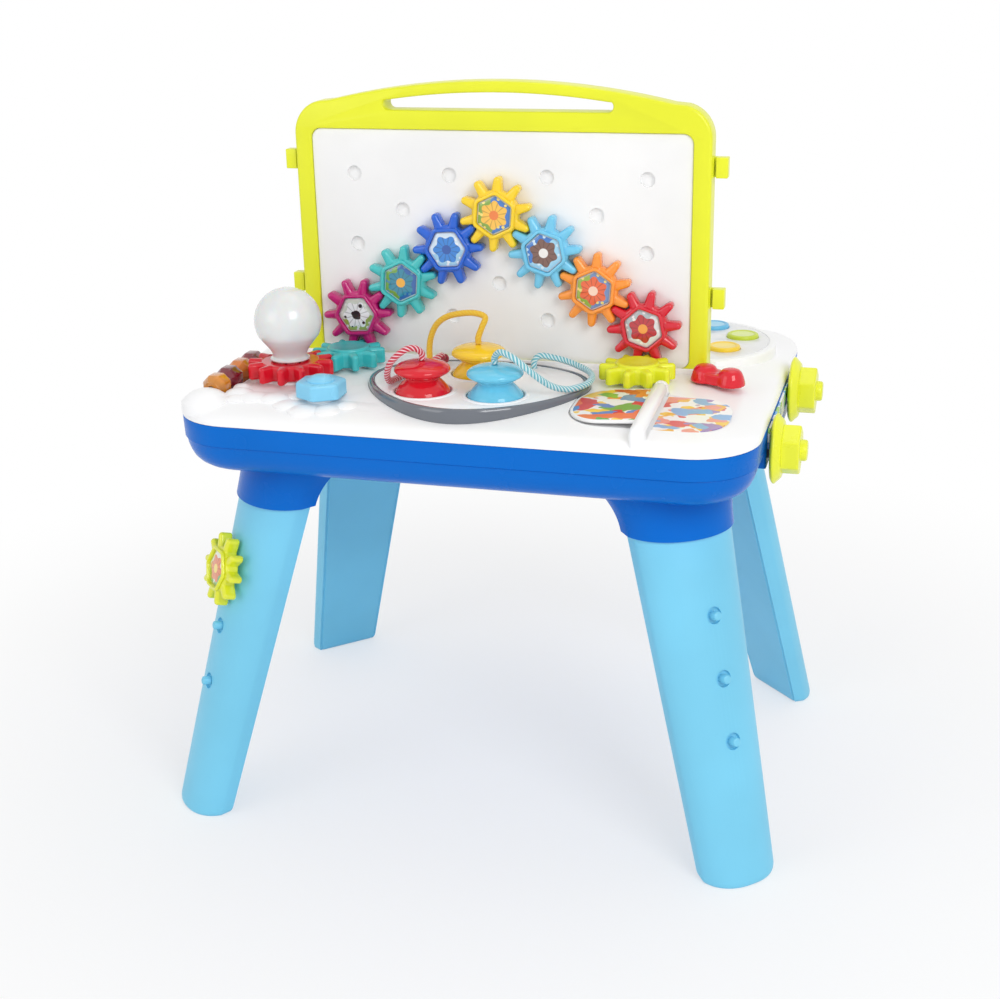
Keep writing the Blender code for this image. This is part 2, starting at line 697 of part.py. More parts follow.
def make_gears():
    for (name, colour, column, row), phase in zip(EASEL_GEARS, easel_gear_phases()):
        x, z = socket_place(column, row)
        place = (x, BOARD_FRONT - GEAR_STANDOFF, z)
        turn = FACE_FRONT @ Matrix.Rotation(radians(phase), 4, "Z")
        add("gear_" + name, windowed_gear(), colour, place, turn)
        add("window_" + name, window_lens(), CLEAR, place, turn, 0.05, 0.9)
    frame = peg_frame(0, -1, -1) @ Matrix.Translation((0, 0, GEAR_STANDOFF))
    add("gear_lime", windowed_gear(), LIME, frame.translation, frame.to_3x3().to_4x4())
    add("window_lime", window_lens(), CLEAR, frame.translation, frame.to_3x3().to_4x4(), 0.05, 0.9)


def table_gear():
    """A closed gear that lies on the deck and turns on a pin under it."""
    bm = gear_blank(GEAR_TEETH, TABLE_GEAR_THICKNESS)
    hub_top = TABLE_GEAR_THICKNESS + TABLE_GEAR_HUB_RISE
    hub = lathe([(0, TABLE_GEAR_THICKNESS - 3 * MM), (TABLE_GEAR_HUB, TABLE_GEAR_THICKNESS - 3 * MM),
                 (TABLE_GEAR_HUB, TABLE_GEAR_THICKNESS), (TABLE_GEAR_HUB - 1.6 * MM, hub_top), (0, hub_top)], 16)
    bm = joined(bm, hub)
    return cut(bm, disc(AXLE_PIN_RADIUS + RUNNING_GAP, -MM, TABLE_GEAR_THICKNESS - 3 * MM, steps=10))


def make_table_gears():
    phases = easel_gear_phases()
    height = PEDESTAL_TOP + CLEARANCE
    teal_phase = 90 - FIRST_PHASE % (360 / GEAR_TEETH)
    lime_phase = 90 - phases[-1] % (360 / GEAR_TEETH)
    add("table_gear_teal", table_gear(), TEAL, (-TABLE_GEAR_X, TABLE_GEAR_Y, height),
        Matrix.Rotation(radians(teal_phase), 4, "Z"))
    add("table_gear_lime", table_gear(), LIME, (TABLE_GEAR_X, TABLE_GEAR_Y, height),
        Matrix.Rotation(radians(lime_phase), 4, "Z"))
    direction = degrees(BULB_DIRECTION)
    bulb_phase = direction + 180 + (180 - GEAR_TEETH * (teal_phase - direction)) / BULB_GEAR_TEETH
    ring = gear_blank(BULB_GEAR_TEETH, TABLE_GEAR_THICKNESS)
    ring = cut(ring, disc(BULB_NECK + 2 * RUNNING_GAP, -MM, TABLE_GEAR_THICKNESS + MM, steps=20))
    add("bulb_gear", ring, RED, (*BULB_PLACE, height), Matrix.Rotation(radians(bulb_phase), 4, "Z"))


# Easel

CROWN_RADIUS = (EASEL_SHOULDER_X ** 2 + CROWN_DROP ** 2) / (2 * CROWN_DROP)


def arch_height(x, apex):
    """Height of the easel's crown, or of a line under it, at one x."""
    return apex - CROWN_RADIUS + sqrt(CROWN_RADIUS ** 2 - x ** 2)


def easel_outline():
    """The frame's outside: straight posts, round shoulders and a shallow arch, as (x, z)."""
    points = [(-EASEL_HALF_WIDTH, EASEL_BOTTOM), (EASEL_HALF_WIDTH, EASEL_BOTTOM)]
    centre_x = EASEL_HALF_WIDTH - SHOULDER_RADIUS
    start = asin(centre_x / CROWN_RADIUS)
    centre_z = arch_height(centre_x, EASEL_TOP) - SHOULDER_RADIUS * cos(start)
    shoulder = []
    steps = 6
    for step in range(steps + 1):
        angle = (pi / 2 - start) * step / steps
        shoulder.append((centre_x + SHOULDER_RADIUS * cos(angle), centre_z + SHOULDER_RADIUS * sin(angle)))
    arch = []
    steps = 7
    reach = shoulder[-1][0]
    for step in range(1, steps):
        x = reach - 2 * reach * step / steps
        arch.append((x, arch_height(x, EASEL_TOP)))
    points += shoulder + arch
    points += [(-x, z) for x, z in reversed(shoulder)]
    return points


def handle_slot():
    """The outline of the carrying slot under the arch, as (x, z)."""
    centre_x = SLOT_HALF_LENGTH - SLOT_END_RADIUS
    end_z = SLOT_BOTTOM + SLOT_END_RADIUS
    right = []
    for angle in (-90, -45, 0, 45):
        right.append((centre_x + SLOT_END_RADIUS * cos(radians(angle)), end_z + SLOT_END_RADIUS * sin(radians(angle))))
    top = []
    steps = 6
    for step in range(steps + 1):
        x = centre_x - 2 * centre_x * step / steps
        top.append((x, arch_height(x, SLOT_TOP)))
    return right + top + [(-x, z) for x, z in reversed(right)]


def upright(outline, front, back):
    """An outline of (x, z) points made solid from front to back, along Y."""
    bm = prism(outline, 0, back - front)
    turned(bm, Matrix.Rotation(pi / 2, 4, "X"))
    return recalculated(moved(bm, (0, back, 0)))


def board_outline(gap):
    """The board opening of the easel, or a board in it when the gap is not zero."""
    half = EASEL_HALF_WIDTH - POST_WIDTH - gap
    low = EASEL_BOTTOM + BOTTOM_BAR_HEIGHT + gap
    high = WINDOW_TOP - gap
    middle = (low + high) / 2
    return [(x, middle + z) for x, z in rounded_rectangle(half, (high - low) / 2, BOARD_CORNER, 3)]


def make_easel():
    frame = upright(easel_outline(), EASEL_FRONT, EASEL_BACK)
    rounded_edges(frame, EASEL_EDGE, 1, 50, lambda edge: abs(edge.verts[0].co.y - edge.verts[1].co.y) < MM
                  and min(vert.co.z for vert in edge.verts) > EASEL_BOTTOM + MM)
    frame = cut(frame, upright(board_outline(0), EASEL_FRONT - MM, EASEL_BACK + MM),
                upright(handle_slot(), EASEL_FRONT - MM, EASEL_BACK + MM))
    middle = (EASEL_FRONT + EASEL_BACK) / 2
    for side in (-1, 1):
        inner, outer = sorted((side * TONGUE_INNER, side * TONGUE_OUTER))
        tongue = block((inner, middle - TONGUE_THICKNESS / 2, EASEL_BOTTOM - TONGUE_LENGTH),
                       (outer, middle + TONGUE_THICKNESS / 2, EASEL_BOTTOM + 2 * MM))
        frame = joined(frame, tongue)
        for height in (EASEL_TOP - UPPER_HOOK_DROP, EASEL_TOP - LOWER_HOOK_DROP):
            inner, outer = sorted((side * (EASEL_HALF_WIDTH - 3 * MM), side * (EASEL_HALF_WIDTH + HOOK_REACH)))
            hook = block((inner, middle - HOOK_THICKNESS / 2, height - HOOK_HEIGHT / 2),
                         (outer, middle + HOOK_THICKNESS / 2, height + HOOK_HEIGHT / 2))
            groove_low, groove_high = sorted((side * (EASEL_HALF_WIDTH + 0.6 * MM), side * (EASEL_HALF_WIDTH + 2.6 * MM)))
            groove = block((groove_low, middle - HOOK_THICKNESS, height - HOOK_HEIGHT),
                           (groove_high, middle + HOOK_THICKNESS / 2 - 4 * MM, height + HOOK_HEIGHT))
            frame = joined(frame, cut(hook, groove))
    add("easel_frame", frame, LIME)

    front = upright(board_outline(CLEARANCE), BOARD_FRONT, BOARD_FRONT + BOARD_THICKNESS)
    for row in range(1, 6):
        for column in range(1 if row % 2 else 2, 8, 2):
            x, z = socket_place(column, row)
            socket = turned(disc(SOCKET_RADIUS, 0, 2 * SOCKET_DEPTH, steps=8), FACE_FRONT)
            front = cut(front, moved(socket, (x, BOARD_FRONT + SOCKET_DEPTH, z)))
    add("board_front", front, WHITE, roughness=0.4)
    add("board_back", upright(board_outline(CLEARANCE), EASEL_BACK - BOARD_INSET - BACK_BOARD_THICKNESS,
                              EASEL_BACK - BOARD_INSET), WHITE, roughness=0.4)


# Plate, plugs and ropes

def plate_outline(inset):
    """An egg with a broad back, drawn in by an inset."""
    half_x, half_y = PLATE_HALF_WIDTH - inset, PLATE_HALF_DEPTH - inset
    outline = []
    for step in range(PLATE_STEPS):
        angle = 2 * pi * step / PLATE_STEPS
        outline.append((half_x * cos(angle) * (1 + PLATE_SKEW * sin(angle)), PLATE_Y + half_y * sin(angle)))
    return outline


def ring_at(outline, height):
    return [(x, y, height) for x, y in outline]


ROPE_ENDS = {
    "red": (-40 * MM, -41 * MM),
    "yellow": (-51 * MM, -43 * MM),
    "blue": (34 * MM, -37 * MM),
}

# Rope routes in millimetres from the top of the plug to the hole in the plate, above the plate
ROPE_ROUTES = {
    "red": [(-36, -121, 34), (-42, -125, 34), (-49, -128, 29), (-55, -127, 22), (-59.5, -121, 12),
            (-61, -112, 4.5), (-60, -100, 3.2), (-56, -86, 3.2), (-51, -72, 3.2), (-46, -60, 5),
            (-41.5, -50, 8), (-40, -43.5, 7)],
    "yellow": [(-1.5, -60, 37), (0, -56, 44), (-9, -54, 46.5), (-22, -52, 45),
               (-34, -49, 41), (-43, -46.5, 34), (-48.5, -44.5, 24), (-51, -43.2, 13)],
    "blue": [(31, -122.5, 35), (41, -127, 33), (50, -126, 26), (58, -122, 18),
             (67, -114, 9), (76, -105, 4.2), (84, -95, 3.4), (88.5, -82, 3.4), (88, -66, 3.6),
             (82, -52, 3.8), (72, -42, 4.6), (60, -35.5, 6.5), (48, -34, 8.5), (39, -35.2, 9.5),
             (34.6, -36.6, 6)],
}


def smooth_route(points, step):
    """Points at even steps along a smooth curve through the given ones, with a short first step."""
    padded = [2 * points[0] - points[1]] + points + [2 * points[-1] - points[-2]]
    dense = []
    for index in range(1, len(padded) - 2):
        before, start, end, after = padded[index - 1:index + 3]
        for part in range(12):
            t = part / 12
            dense.append(0.5 * (2 * start + (end - before) * t + (2 * before - 5 * start + 4 * end - after) * t ** 2
                                + (3 * start - 3 * end + after - before) * t ** 3))
    dense.append(points[-1])
    lengths = [0.0]
    for first, second in zip(dense, dense[1:]):
        lengths.append(lengths[-1] + (second - first).length)
    count = max(2, round(lengths[-1] / step))
    result = []
    for number in [0, 0.2] + list(range(1, count + 1)):
        goal = lengths[-1] * number / count
        index = min(max(next(i for i, length in enumerate(lengths) if length >= goal - 1e-9), 1), len(dense) - 1)
        share = (goal - lengths[index - 1]) / (lengths[index] - lengths[index - 1])
        result.append(dense[index - 1].lerp(dense[index], share))
    return result


def plug_profile():
    """Half section of a plug above the plate: a cone foot, a waist and a domed cap."""
    top = PLUG_HEIGHT
    return [(0, -PLUG_SPIGOT_LENGTH), (PLUG_SPIGOT, -PLUG_SPIGOT_LENGTH), (PLUG_SPIGOT, 0), (PLUG_RADIUS, 0),
            (PLUG_RADIUS, top * 0.06), (PLUG_WAIST + 2 * MM, top * 0.34), (PLUG_WAIST, top * 0.44),
            (PLUG_RADIUS - 1.5 * MM, top * 0.58), (PLUG_RADIUS, top * 0.7), (PLUG_RADIUS - 5 * MM, top * 0.9),
            (PLUG_WAIST - 4 * MM, top), (0, top)]


def make_rope(name, plug):
    """A short tied rope from the plug's cap to its hole in the plate, with its tail below."""
    end = Vector((*ROPE_ENDS[name], 0))
    floor = Vector((0, 0, PLATE_TOP))
    start = Vector((*PLUG_PLACES[name], PLUG_HEIGHT + 3 * CLEARANCE))
    route = [start, start + Vector((0, 0, ROPE_DIAMETER))] + [Vector(point) * MM for point in ROPE_ROUTES[name]]
    route += [end, end - Vector((0, 0, ROPE_TAIL / 2)), end - Vector((0, 0, ROPE_TAIL))]
    points = smooth_route([point + floor for point in route], ROPE_STEP)
    curve = bpy.data.curves.new("rope_" + name, "CURVE")
    curve.dimensions = "3D"
    curve.bevel_depth = ROPE_DIAMETER / 2
    curve.bevel_resolution = 1
    curve.use_fill_caps = True
    spline = curve.splines.new("POLY")
    spline.points.add(len(points) - 1)
    for target, point in zip(spline.points, points):
        target.co = (*(point - plug.location), 1)
    colour = {"red": RED, "yellow": YELLOW, "blue": PALE_BLUE}[name]
    curve.materials.append(material("rope_" + name, colour, 0.8, 0))
    rope = bpy.data.objects.new("rope_" + name, curve)
    bpy.context.collection.objects.link(rope)
    rope.parent = plug


def make_plate():
    rim = loft([ring_at(plate_outline(0), PLATE_BED + CLEARANCE), ring_at(plate_outline(PLATE_SLOPE * 0.4), PLATE_TOP - 2 * MM),
                ring_at(plate_outline(PLATE_SLOPE), PLATE_TOP + 0.4 * MM)])
    rim = cut(rim, prism(plate_outline(PLATE_RIM_WIDTH), PLATE_FLOOR - CLEARANCE, PLATE_TOP + 5 * MM))
    rim = cut(rim, prism(plate_outline(PLATE_RIM_WIDTH + PLATE_LEDGE), PLATE_BED - 5 * MM, PLATE_TOP + 5 * MM))
    add("plate_rim", rim, SLATE, roughness=0.25)

    plate = prism(plate_outline(PLATE_RIM_WIDTH + CLEARANCE), PLATE_FLOOR, PLATE_TOP)
    for place in PLUG_PLACES.values():
        plate = cut(plate, disc(PLUG_SPIGOT + 3 * RUNNING_GAP, PLATE_BED, PLATE_TOP + MM, place, 12))
    for place in ROPE_ENDS.values():
        plate = cut(plate, disc(ROPE_HOLE, PLATE_BED, PLATE_TOP + MM, place, 8))
    add("plate", plate, WHITE)

    colours = {"red": RED, "yellow": YELLOW, "blue": PALE_BLUE}
    for name, place in PLUG_PLACES.items():
        plug = add("plug_" + name, lathe(plug_profile(), 16), colours[name], (*place, PLATE_TOP + CLEARANCE),
                   roughness=0.2)
        make_rope(name, plug)


# Deck

def deck_profile():
    """Inset and height of the deck's crown, from the cover's edge to its flat middle."""
    base = COVER_LINE + CLEARANCE / 2
    shares = ((0, 0), (0.4, 0.17), (2.5, 0.36), (8, 0.53), (20, 0.68), (45, 0.88), (75, 1))
    return [(inset * MM, base + (DECK_TOP - base) * share) for inset, share in shares]


def deck_height(x, y):
    """Height of the deck's surface over one spot of its straight sides."""
    here = min(TABLE_LENGTH / 2 - abs(x), TABLE_DEPTH / 2 - abs(y))
    profile = deck_profile()
    for (inset, height), (next_inset, next_height) in zip(profile, profile[1:]):
        if here < next_inset:
            return height + (next_height - height) * (here - inset) / (next_inset - inset)
    return DECK_TOP


def lip_inset():
    return TRAY_WALL + RUNNING_GAP


def crown_solid():
    lip = [(lip_inset(), COVER_LINE - LIP_DEPTH), (lip_inset(), COVER_LINE + CLEARANCE / 2)]
    return loft([body_ring(*point) for point in lip + deck_profile()])


def crown_hollow():
    inner = lip_inset() + LIP_WALL
    profile = [(inner, COVER_LINE - LIP_DEPTH - 5 * MM), (inner, COVER_LINE + 1 * MM)]
    for inset, height in deck_profile()[3::2]:
        profile.append((inset + DECK_WALL * 0.7, height - DECK_WALL))
    return loft([body_ring(*point) for point in profile])


def rail_box(grow, low, high):
    """A box around the easel's foot."""
    return block((-EASEL_HALF_WIDTH - grow[0], EASEL_FRONT - grow[1], low),
                 (EASEL_HALF_WIDTH + grow[0], EASEL_BACK + grow[2], high))


BEAD_PITCH = BEAD_LENGTH + BEAD_GAP
BEAD_ROW_END = BEAD_ROW_START + BEAD_COUNT * BEAD_PITCH - BEAD_GAP
BOOK_FRAME = (Matrix.Translation((BOOK_X, BOOK_FRONT, DECK_TOP - BOOK_BED_DROP))
              @ Matrix.Rotation(BOOK_TILT, 4, "X"))
SPINE_HEIGHT = SPINE_RADIUS + RUNNING_GAP
SPINE_LENGTH = BOOK_DEPTH + SPINE_OVERHANG
PAGE_REST = asin((SPINE_HEIGHT - PAGE_THICKNESS / 2 - 1 * MM) / PAGE_WIDTH)


def bead_well(grow, low, high):
    """The box that the beads turn in, grown by a wall."""
    half = BEAD_RADIUS + 1 * MM + grow
    return block((BEAD_X - half, BEAD_ROW_START - 1 * MM - grow, low), (BEAD_X + half, BEAD_ROW_END + 1 * MM + grow, high))


def book_bed(grow, bottom):
    """The room over the sloping floor that the open book lies on."""
    half_x, half_y = PAGE_WIDTH + RUNNING_GAP * 2 + grow, BOOK_DEPTH / 2 + grow
    outline = rounded_rectangle(half_x, half_y, PAGE_CORNER + grow)
    return turned(prism([(x, BOOK_DEPTH / 2 + y) for x, y in outline], bottom, 20 * MM), BOOK_FRAME)


def spine_trough():
    """The groove that lets the book's round spine turn, on past the pages towards the child."""
    half = SPINE_RADIUS + MM
    front, back = -SPINE_OVERHANG - 2 * SPINE_POST, BOOK_DEPTH + 2 * SPINE_POST
    return turned(block((-half, front, -CLEARANCE), (half, back, 20 * MM)), BOOK_FRAME)


LOW = COVER_LINE - DECK_CROWN
HIGH = DECK_TOP + EASEL_HEIGHT


def make_top_cover():
    hollow = crown_hollow()
    well_floor = BEAD_AXLE_Z - BEAD_RADIUS - 1.5 * MM
    keep = [prism(plate_outline(-CLEARANCE - DECK_WALL), PLATE_BED - DECK_WALL, DECK_TOP),
            rail_box((CLEARANCE + RAIL_WALL,) * 3, SLOT_FLOOR - DECK_WALL, DECK_TOP),
            bead_well(DECK_WALL, well_floor - DECK_WALL, DECK_TOP),
            book_bed(DECK_WALL, -DECK_WALL)]
    for place in BUTTON_PLACES.values():
        keep.append(disc(BUTTON_RADIUS + 4 * MM, DECK_TOP - 8 * MM, DECK_TOP, place, 8))
    hollow = cut(hollow, *keep)
    cover = cut(crown_solid(), hollow)

    rail = rail_box((CLEARANCE + RAIL_WALL, CLEARANCE + RAIL_FRONT_WALL, CLEARANCE + RAIL_WALL),
                    SLOT_FLOOR + MM, RAIL_TOP)
    pad = lathe([(0, DECK_TOP - 9 * MM), (PAD_RADIUS, DECK_TOP - 9 * MM), (PAD_RADIUS, PAD_TOP - 2 * MM),
                 (PAD_RADIUS - 1.2 * MM, PAD_TOP), (0, PAD_TOP)], 26)
    pad = cut(moved(pad, (*PAD_PLACE, 0)), crown_hollow(), rail_box((CLEARANCE + RAIL_WALL + MM,) * 3, LOW, HIGH))
    raised = [rail, pad]
    for x in (-TABLE_GEAR_X, TABLE_GEAR_X):
        place = (x, TABLE_GEAR_Y)
        raised.append(disc(PEDESTAL_RADIUS, DECK_TOP - MM, PEDESTAL_TOP, place, 12))
        pin_top = PEDESTAL_TOP + TABLE_GEAR_THICKNESS - 4 * MM
        raised.append(disc(AXLE_PIN_RADIUS, DECK_TOP - MM, pin_top, place, 8))
    raised.append(disc(BULB_NECK + 8 * MM, DECK_TOP - 2 * MM, PEDESTAL_TOP, BULB_PLACE, 14))
    raised.append(disc(NUT_RADIUS * 0.6, NUT_BASE - 3 * MM, NUT_BASE, NUT_PLACE, 10))
    raised.append(disc(NUT_PIN, NUT_BASE - MM, NUT_BASE + NUT_HEIGHT - 5 * MM, NUT_PLACE, 8))
    raised.append(disc(SWITCH_LENGTH * 0.3, SWITCH_BASE - 4 * MM, SWITCH_BASE, SWITCH_PLACE, 12))
    raised.append(disc(NUT_PIN, SWITCH_BASE - MM, SWITCH_BASE + SWITCH_HEIGHT - 5 * MM, SWITCH_PLACE, 8))
    for y in (BEAD_ROW_START - 1 * MM - BRACKET, BEAD_ROW_END + 1 * MM):
        half = BEAD_AXLE_RADIUS + 3.5 * MM
        bracket = block((BEAD_X - half, y, COVER_LINE + 6 * MM), (BEAD_X + half, y + BRACKET, BEAD_AXLE_Z + half))
        raised.append(bracket)
    cover = joined(cover, *raised)

    cutters = [knob_bore(place) for place in KNOB_PLACES.values()]
    cutters += [prism(plate_outline(-CLEARANCE), PLATE_BED, HIGH),
               rail_box((CLEARANCE,) * 3, SLOT_FLOOR, HIGH),
               bead_well(0, well_floor, HIGH),
               bead_axle(CLEARANCE),
               book_bed(0, 0), spine_trough()]
    middle = (EASEL_FRONT + EASEL_BACK) / 2
    half = TONGUE_THICKNESS / 2 + CLEARANCE
    for side in (-1, 1):
        inner, outer = sorted((side * (TONGUE_INNER - CLEARANCE), side * (TONGUE_OUTER + CLEARANCE)))
        cutters.append(block((inner, middle - half, LOW), (outer, middle + half, SLOT_FLOOR + MM)))
    for place in ROPE_ENDS.values():
        cutters.append(disc(ROPE_HOLE, LOW, PLATE_BED + MM, place, 8))
    for place in BUTTON_PLACES.values():
        well = PAD_TOP + BUTTON_PROUD - BUTTON_HEIGHT - BUTTON_TRAVEL - RUNNING_GAP
        cutters.append(disc(BUTTON_RADIUS + RUNNING_GAP, well, HIGH, place, 16))
    cover = cut(cover, *cutters)
    cover = joined(cover, *spine_posts())
    add("top_cover", cover, WHITE, roughness=0.3)


def bead_axle(grow):
    start, end = BEAD_ROW_START - 1 * MM - BRACKET * 0.7, BEAD_ROW_END + 1 * MM + BRACKET * 0.7
    return moved(along_y(BEAD_AXLE_RADIUS + grow, start - grow, end + grow), (BEAD_X, 0, BEAD_AXLE_Z))


NUT_BASE = deck_height(NUT_PLACE[0], NUT_PLACE[1] + NUT_RADIUS) + CLEARANCE
SWITCH_BASE = DECK_TOP + CLEARANCE


def spine_posts():
    """The two posts that hold the book's pin."""
    posts = []
    for y in (-SPINE_OVERHANG - RUNNING_GAP - SPINE_POST, BOOK_DEPTH + RUNNING_GAP):
        outline = [(-SPINE_RADIUS, -5 * MM), (SPINE_RADIUS, -5 * MM), (SPINE_RADIUS, SPINE_HEIGHT)]
        outline += [(SPINE_RADIUS * cos(radians(a)), SPINE_HEIGHT + SPINE_RADIUS * sin(radians(a)))
                    for a in (45, 90, 135)]
        outline.append((-SPINE_RADIUS, SPINE_HEIGHT))
        post = upright(outline, y, y + SPINE_POST)
        hole = along_y(SPINE_PIN_RADIUS + CLEARANCE, y - MM, y + SPINE_POST + MM)
        posts.append(turned(cut(post, moved(hole, (0, 0, SPINE_HEIGHT))), BOOK_FRAME))
    return posts


def page_outline(side, inner):
    """One page with two round outer corners; side is -1 for the left page and 1 for the right."""
    low, high = PAGE_MARGIN, BOOK_DEPTH - PAGE_MARGIN
    outline = [(side * inner, high), (side * inner, low)]
    for centre_y, start in ((low + PAGE_CORNER, 270), (high - PAGE_CORNER, 360)):
        for step in range(5):
            angle = radians(start + 90 * step / 4)
            reach = PAGE_WIDTH - PAGE_CORNER + PAGE_CORNER * cos(angle)
            outline.append((side * reach, centre_y + PAGE_CORNER * sin(angle)))
    return outline


def along_y(radius, start, end, steps=12):
    """A round solid on the Y axis."""
    bm = turned(disc(radius, 0, end - start, steps=steps), Matrix.Rotation(-pi / 2, 4, "X"))
    return moved(bm, (0, start, 0))


def make_book():
    axis = BOOK_FRAME @ Matrix.Translation((0, 0, SPINE_HEIGHT))
    tilt = axis.to_3x3().to_4x4()
    barrel = along_y(SPINE_RADIUS, -SPINE_OVERHANG, BOOK_DEPTH, 18)
    leaf = prism(page_outline(-1, SPINE_RADIUS * 0.6), -PAGE_THICKNESS / 2, PAGE_THICKNESS / 2)
    page = joined(barrel, turned(leaf, Matrix.Rotation(-PAGE_REST, 4, "Y")))
    page = cut(page, along_y(SPINE_PIN_RADIUS + RUNNING_GAP, -SPINE_OVERHANG - MM, BOOK_DEPTH + MM))
    add("page_leaf", page, WHITE, axis.translation, tilt)

    reach = SPINE_POST * 0.9 + RUNNING_GAP
    pin = along_y(SPINE_PIN_RADIUS, -SPINE_OVERHANG - reach, BOOK_DEPTH + reach)
    add("page_pin", pin, WHITE, axis.translation, tilt)

    print_sheet = prism(page_outline(1, SPINE_RADIUS + 1.5 * MM), CLEARANCE, 1 * MM)
    add("page_print", print_sheet, YELLOW, BOOK_FRAME.translation, BOOK_FRAME.to_3x3().to_4x4())


# Toys on the deck

def make_bulb():
    base = PEDESTAL_TOP + CLEARANCE
    gear_top = base + TABLE_GEAR_THICKNESS
    neck_top = gear_top + 10 * MM
    centre = BULB_TOP - BULB_RADIUS
    outside = [(BULB_NECK, 0), (BULB_NECK, gear_top + CLEARANCE - base), (BULB_NECK + 2.4 * MM, gear_top + CLEARANCE + 0.8 * MM - base),
               (BULB_NECK + 2.4 * MM, gear_top + 3 * MM - base), (BULB_NECK, gear_top + 4.5 * MM - base),
               (BULB_NECK + 0.4 * MM, neck_top - base)]
    for angle in (-47, -20, 7, 34, 62):
        outside.append((BULB_RADIUS * cos(radians(angle)), centre - base + BULB_RADIUS * sin(radians(angle))))
    inside = [(BULB_NECK - BULB_WALL, 0), (BULB_NECK - BULB_WALL, neck_top - base)]
    small = BULB_RADIUS - BULB_WALL
    for angle in (-40, 40):
        inside.append((small * cos(radians(angle)), centre - base + small * sin(radians(angle))))
    profile = outside + [(0, BULB_TOP - base), (0, centre + small - base)] + list(reversed(inside))
    bm = lathe(profile, 16, closed=True)
    add("bulb", bm, (0.8, 0.8, 0.8), (*BULB_PLACE, base), None, 0.25, 0.3)
    lamp = lathe([(0, 0), (7 * MM, 0), (7 * MM, 12 * MM), (4 * MM, 14 * MM), (4 * MM, 30 * MM), (2 * MM, 33 * MM),
                  (0, 33 * MM)], 8)
    add("bulb_lamp", lamp, WHITE, (*BULB_PLACE, base))


def make_nut():
    hexagon = polygon(NUT_RADIUS, 6, pi / 6)
    levels = ((1.0, 0), (1.0, NUT_HEIGHT - 1.6 * MM), (0.93, NUT_HEIGHT))
    nut = loft([[(x * size, y * size, z) for x, y in hexagon] for size, z in levels])
    dome = lathe([(0, NUT_HEIGHT - 3 * MM), (11 * MM, NUT_HEIGHT - 3 * MM), (11 * MM, NUT_HEIGHT + 0.4 * MM),
                  (8 * MM, NUT_HEIGHT + NUT_DOME * 0.7), (0, NUT_HEIGHT + NUT_DOME)], 16)
    nut = joined(nut, dome)
    nut = cut(nut, disc(NUT_PIN + RUNNING_GAP, -MM, NUT_HEIGHT - 4 * MM, steps=10))
    add("hex_nut", nut, PALE_BLUE, (*NUT_PLACE, NUT_BASE + CLEARANCE))


def make_beads():
    colours = [ORANGE, DARK_RED, ORANGE, DARK_RED]
    names = ["bead_orange_front", "bead_maroon", "bead_orange_rear", "bead_dark_red"]
    for index, (name, colour) in enumerate(zip(names, colours)):
        half = BEAD_LENGTH / 2
        levels = ((0.62, -half), (1.0, -half * 0.45), (1.0, half * 0.45), (0.62, half))
        bm = loft([[(x * size, y * size, z) for x, y in polygon(BEAD_RADIUS, 8, pi / 8)] for size, z in levels])
        bm = cut(bm, disc(BEAD_AXLE_RADIUS + RUNNING_GAP, -half - MM, half + MM, steps=8))
        place = (BEAD_X, BEAD_ROW_START + half + index * BEAD_PITCH, BEAD_AXLE_Z)
        add(name, bm, colour, place, Matrix.Rotation(-pi / 2, 4, "X"))
    add("bead_axle", moved(bead_axle(0), (-BEAD_X, 0, -BEAD_AXLE_Z)), WHITE, (BEAD_X, 0, BEAD_AXLE_Z))


def make_switch():
    """A bow-tie knob: two lobes joined at a narrow waist."""
    half, wide = SWITCH_LENGTH / 2, SWITCH_WIDTH / 2
    outline = []
    steps = 16
    for step in range(steps):
        angle = 2 * pi * step / steps
        reach = half * (0.42 + 0.58 * abs(cos(angle)) ** 1.3)
        outline.append((reach * cos(angle), min(1.0, 0.62 + abs(cos(angle))) * wide * 1.25 * sin(angle)))
    levels = ((1.0, 0), (1.0, SWITCH_HEIGHT * 0.5), (0.86, SWITCH_HEIGHT * 0.86), (0.6, SWITCH_HEIGHT))
    bm = loft([[(x * size, y * size, z) for x, y in outline] for size, z in levels])
    bm = cut(bm, disc(NUT_PIN + RUNNING_GAP, -MM, SWITCH_HEIGHT - 4 * MM, steps=10))
    add("mode_switch", bm, RED, (*SWITCH_PLACE, SWITCH_BASE + CLEARANCE), Matrix.Rotation(SWITCH_TURN, 4, "Z"), 0.2)


def make_buttons():
    colours = {"blue": PALE_BLUE, "green": GREEN, "yellow": YELLOW}
    bottom = PAD_TOP + BUTTON_PROUD - BUTTON_HEIGHT
    for name, place in BUTTON_PLACES.items():
        top = BUTTON_HEIGHT
        bm = lathe([(0, 0), (BUTTON_RADIUS, 0), (BUTTON_RADIUS, top - 1.6 * MM), (BUTTON_RADIUS - 1.6 * MM, top - 0.3 * MM),
                    (BUTTON_RADIUS - 4 * MM, top), (0, top)], 14)
        add("button_" + name, bm, colours[name], (*place, bottom))


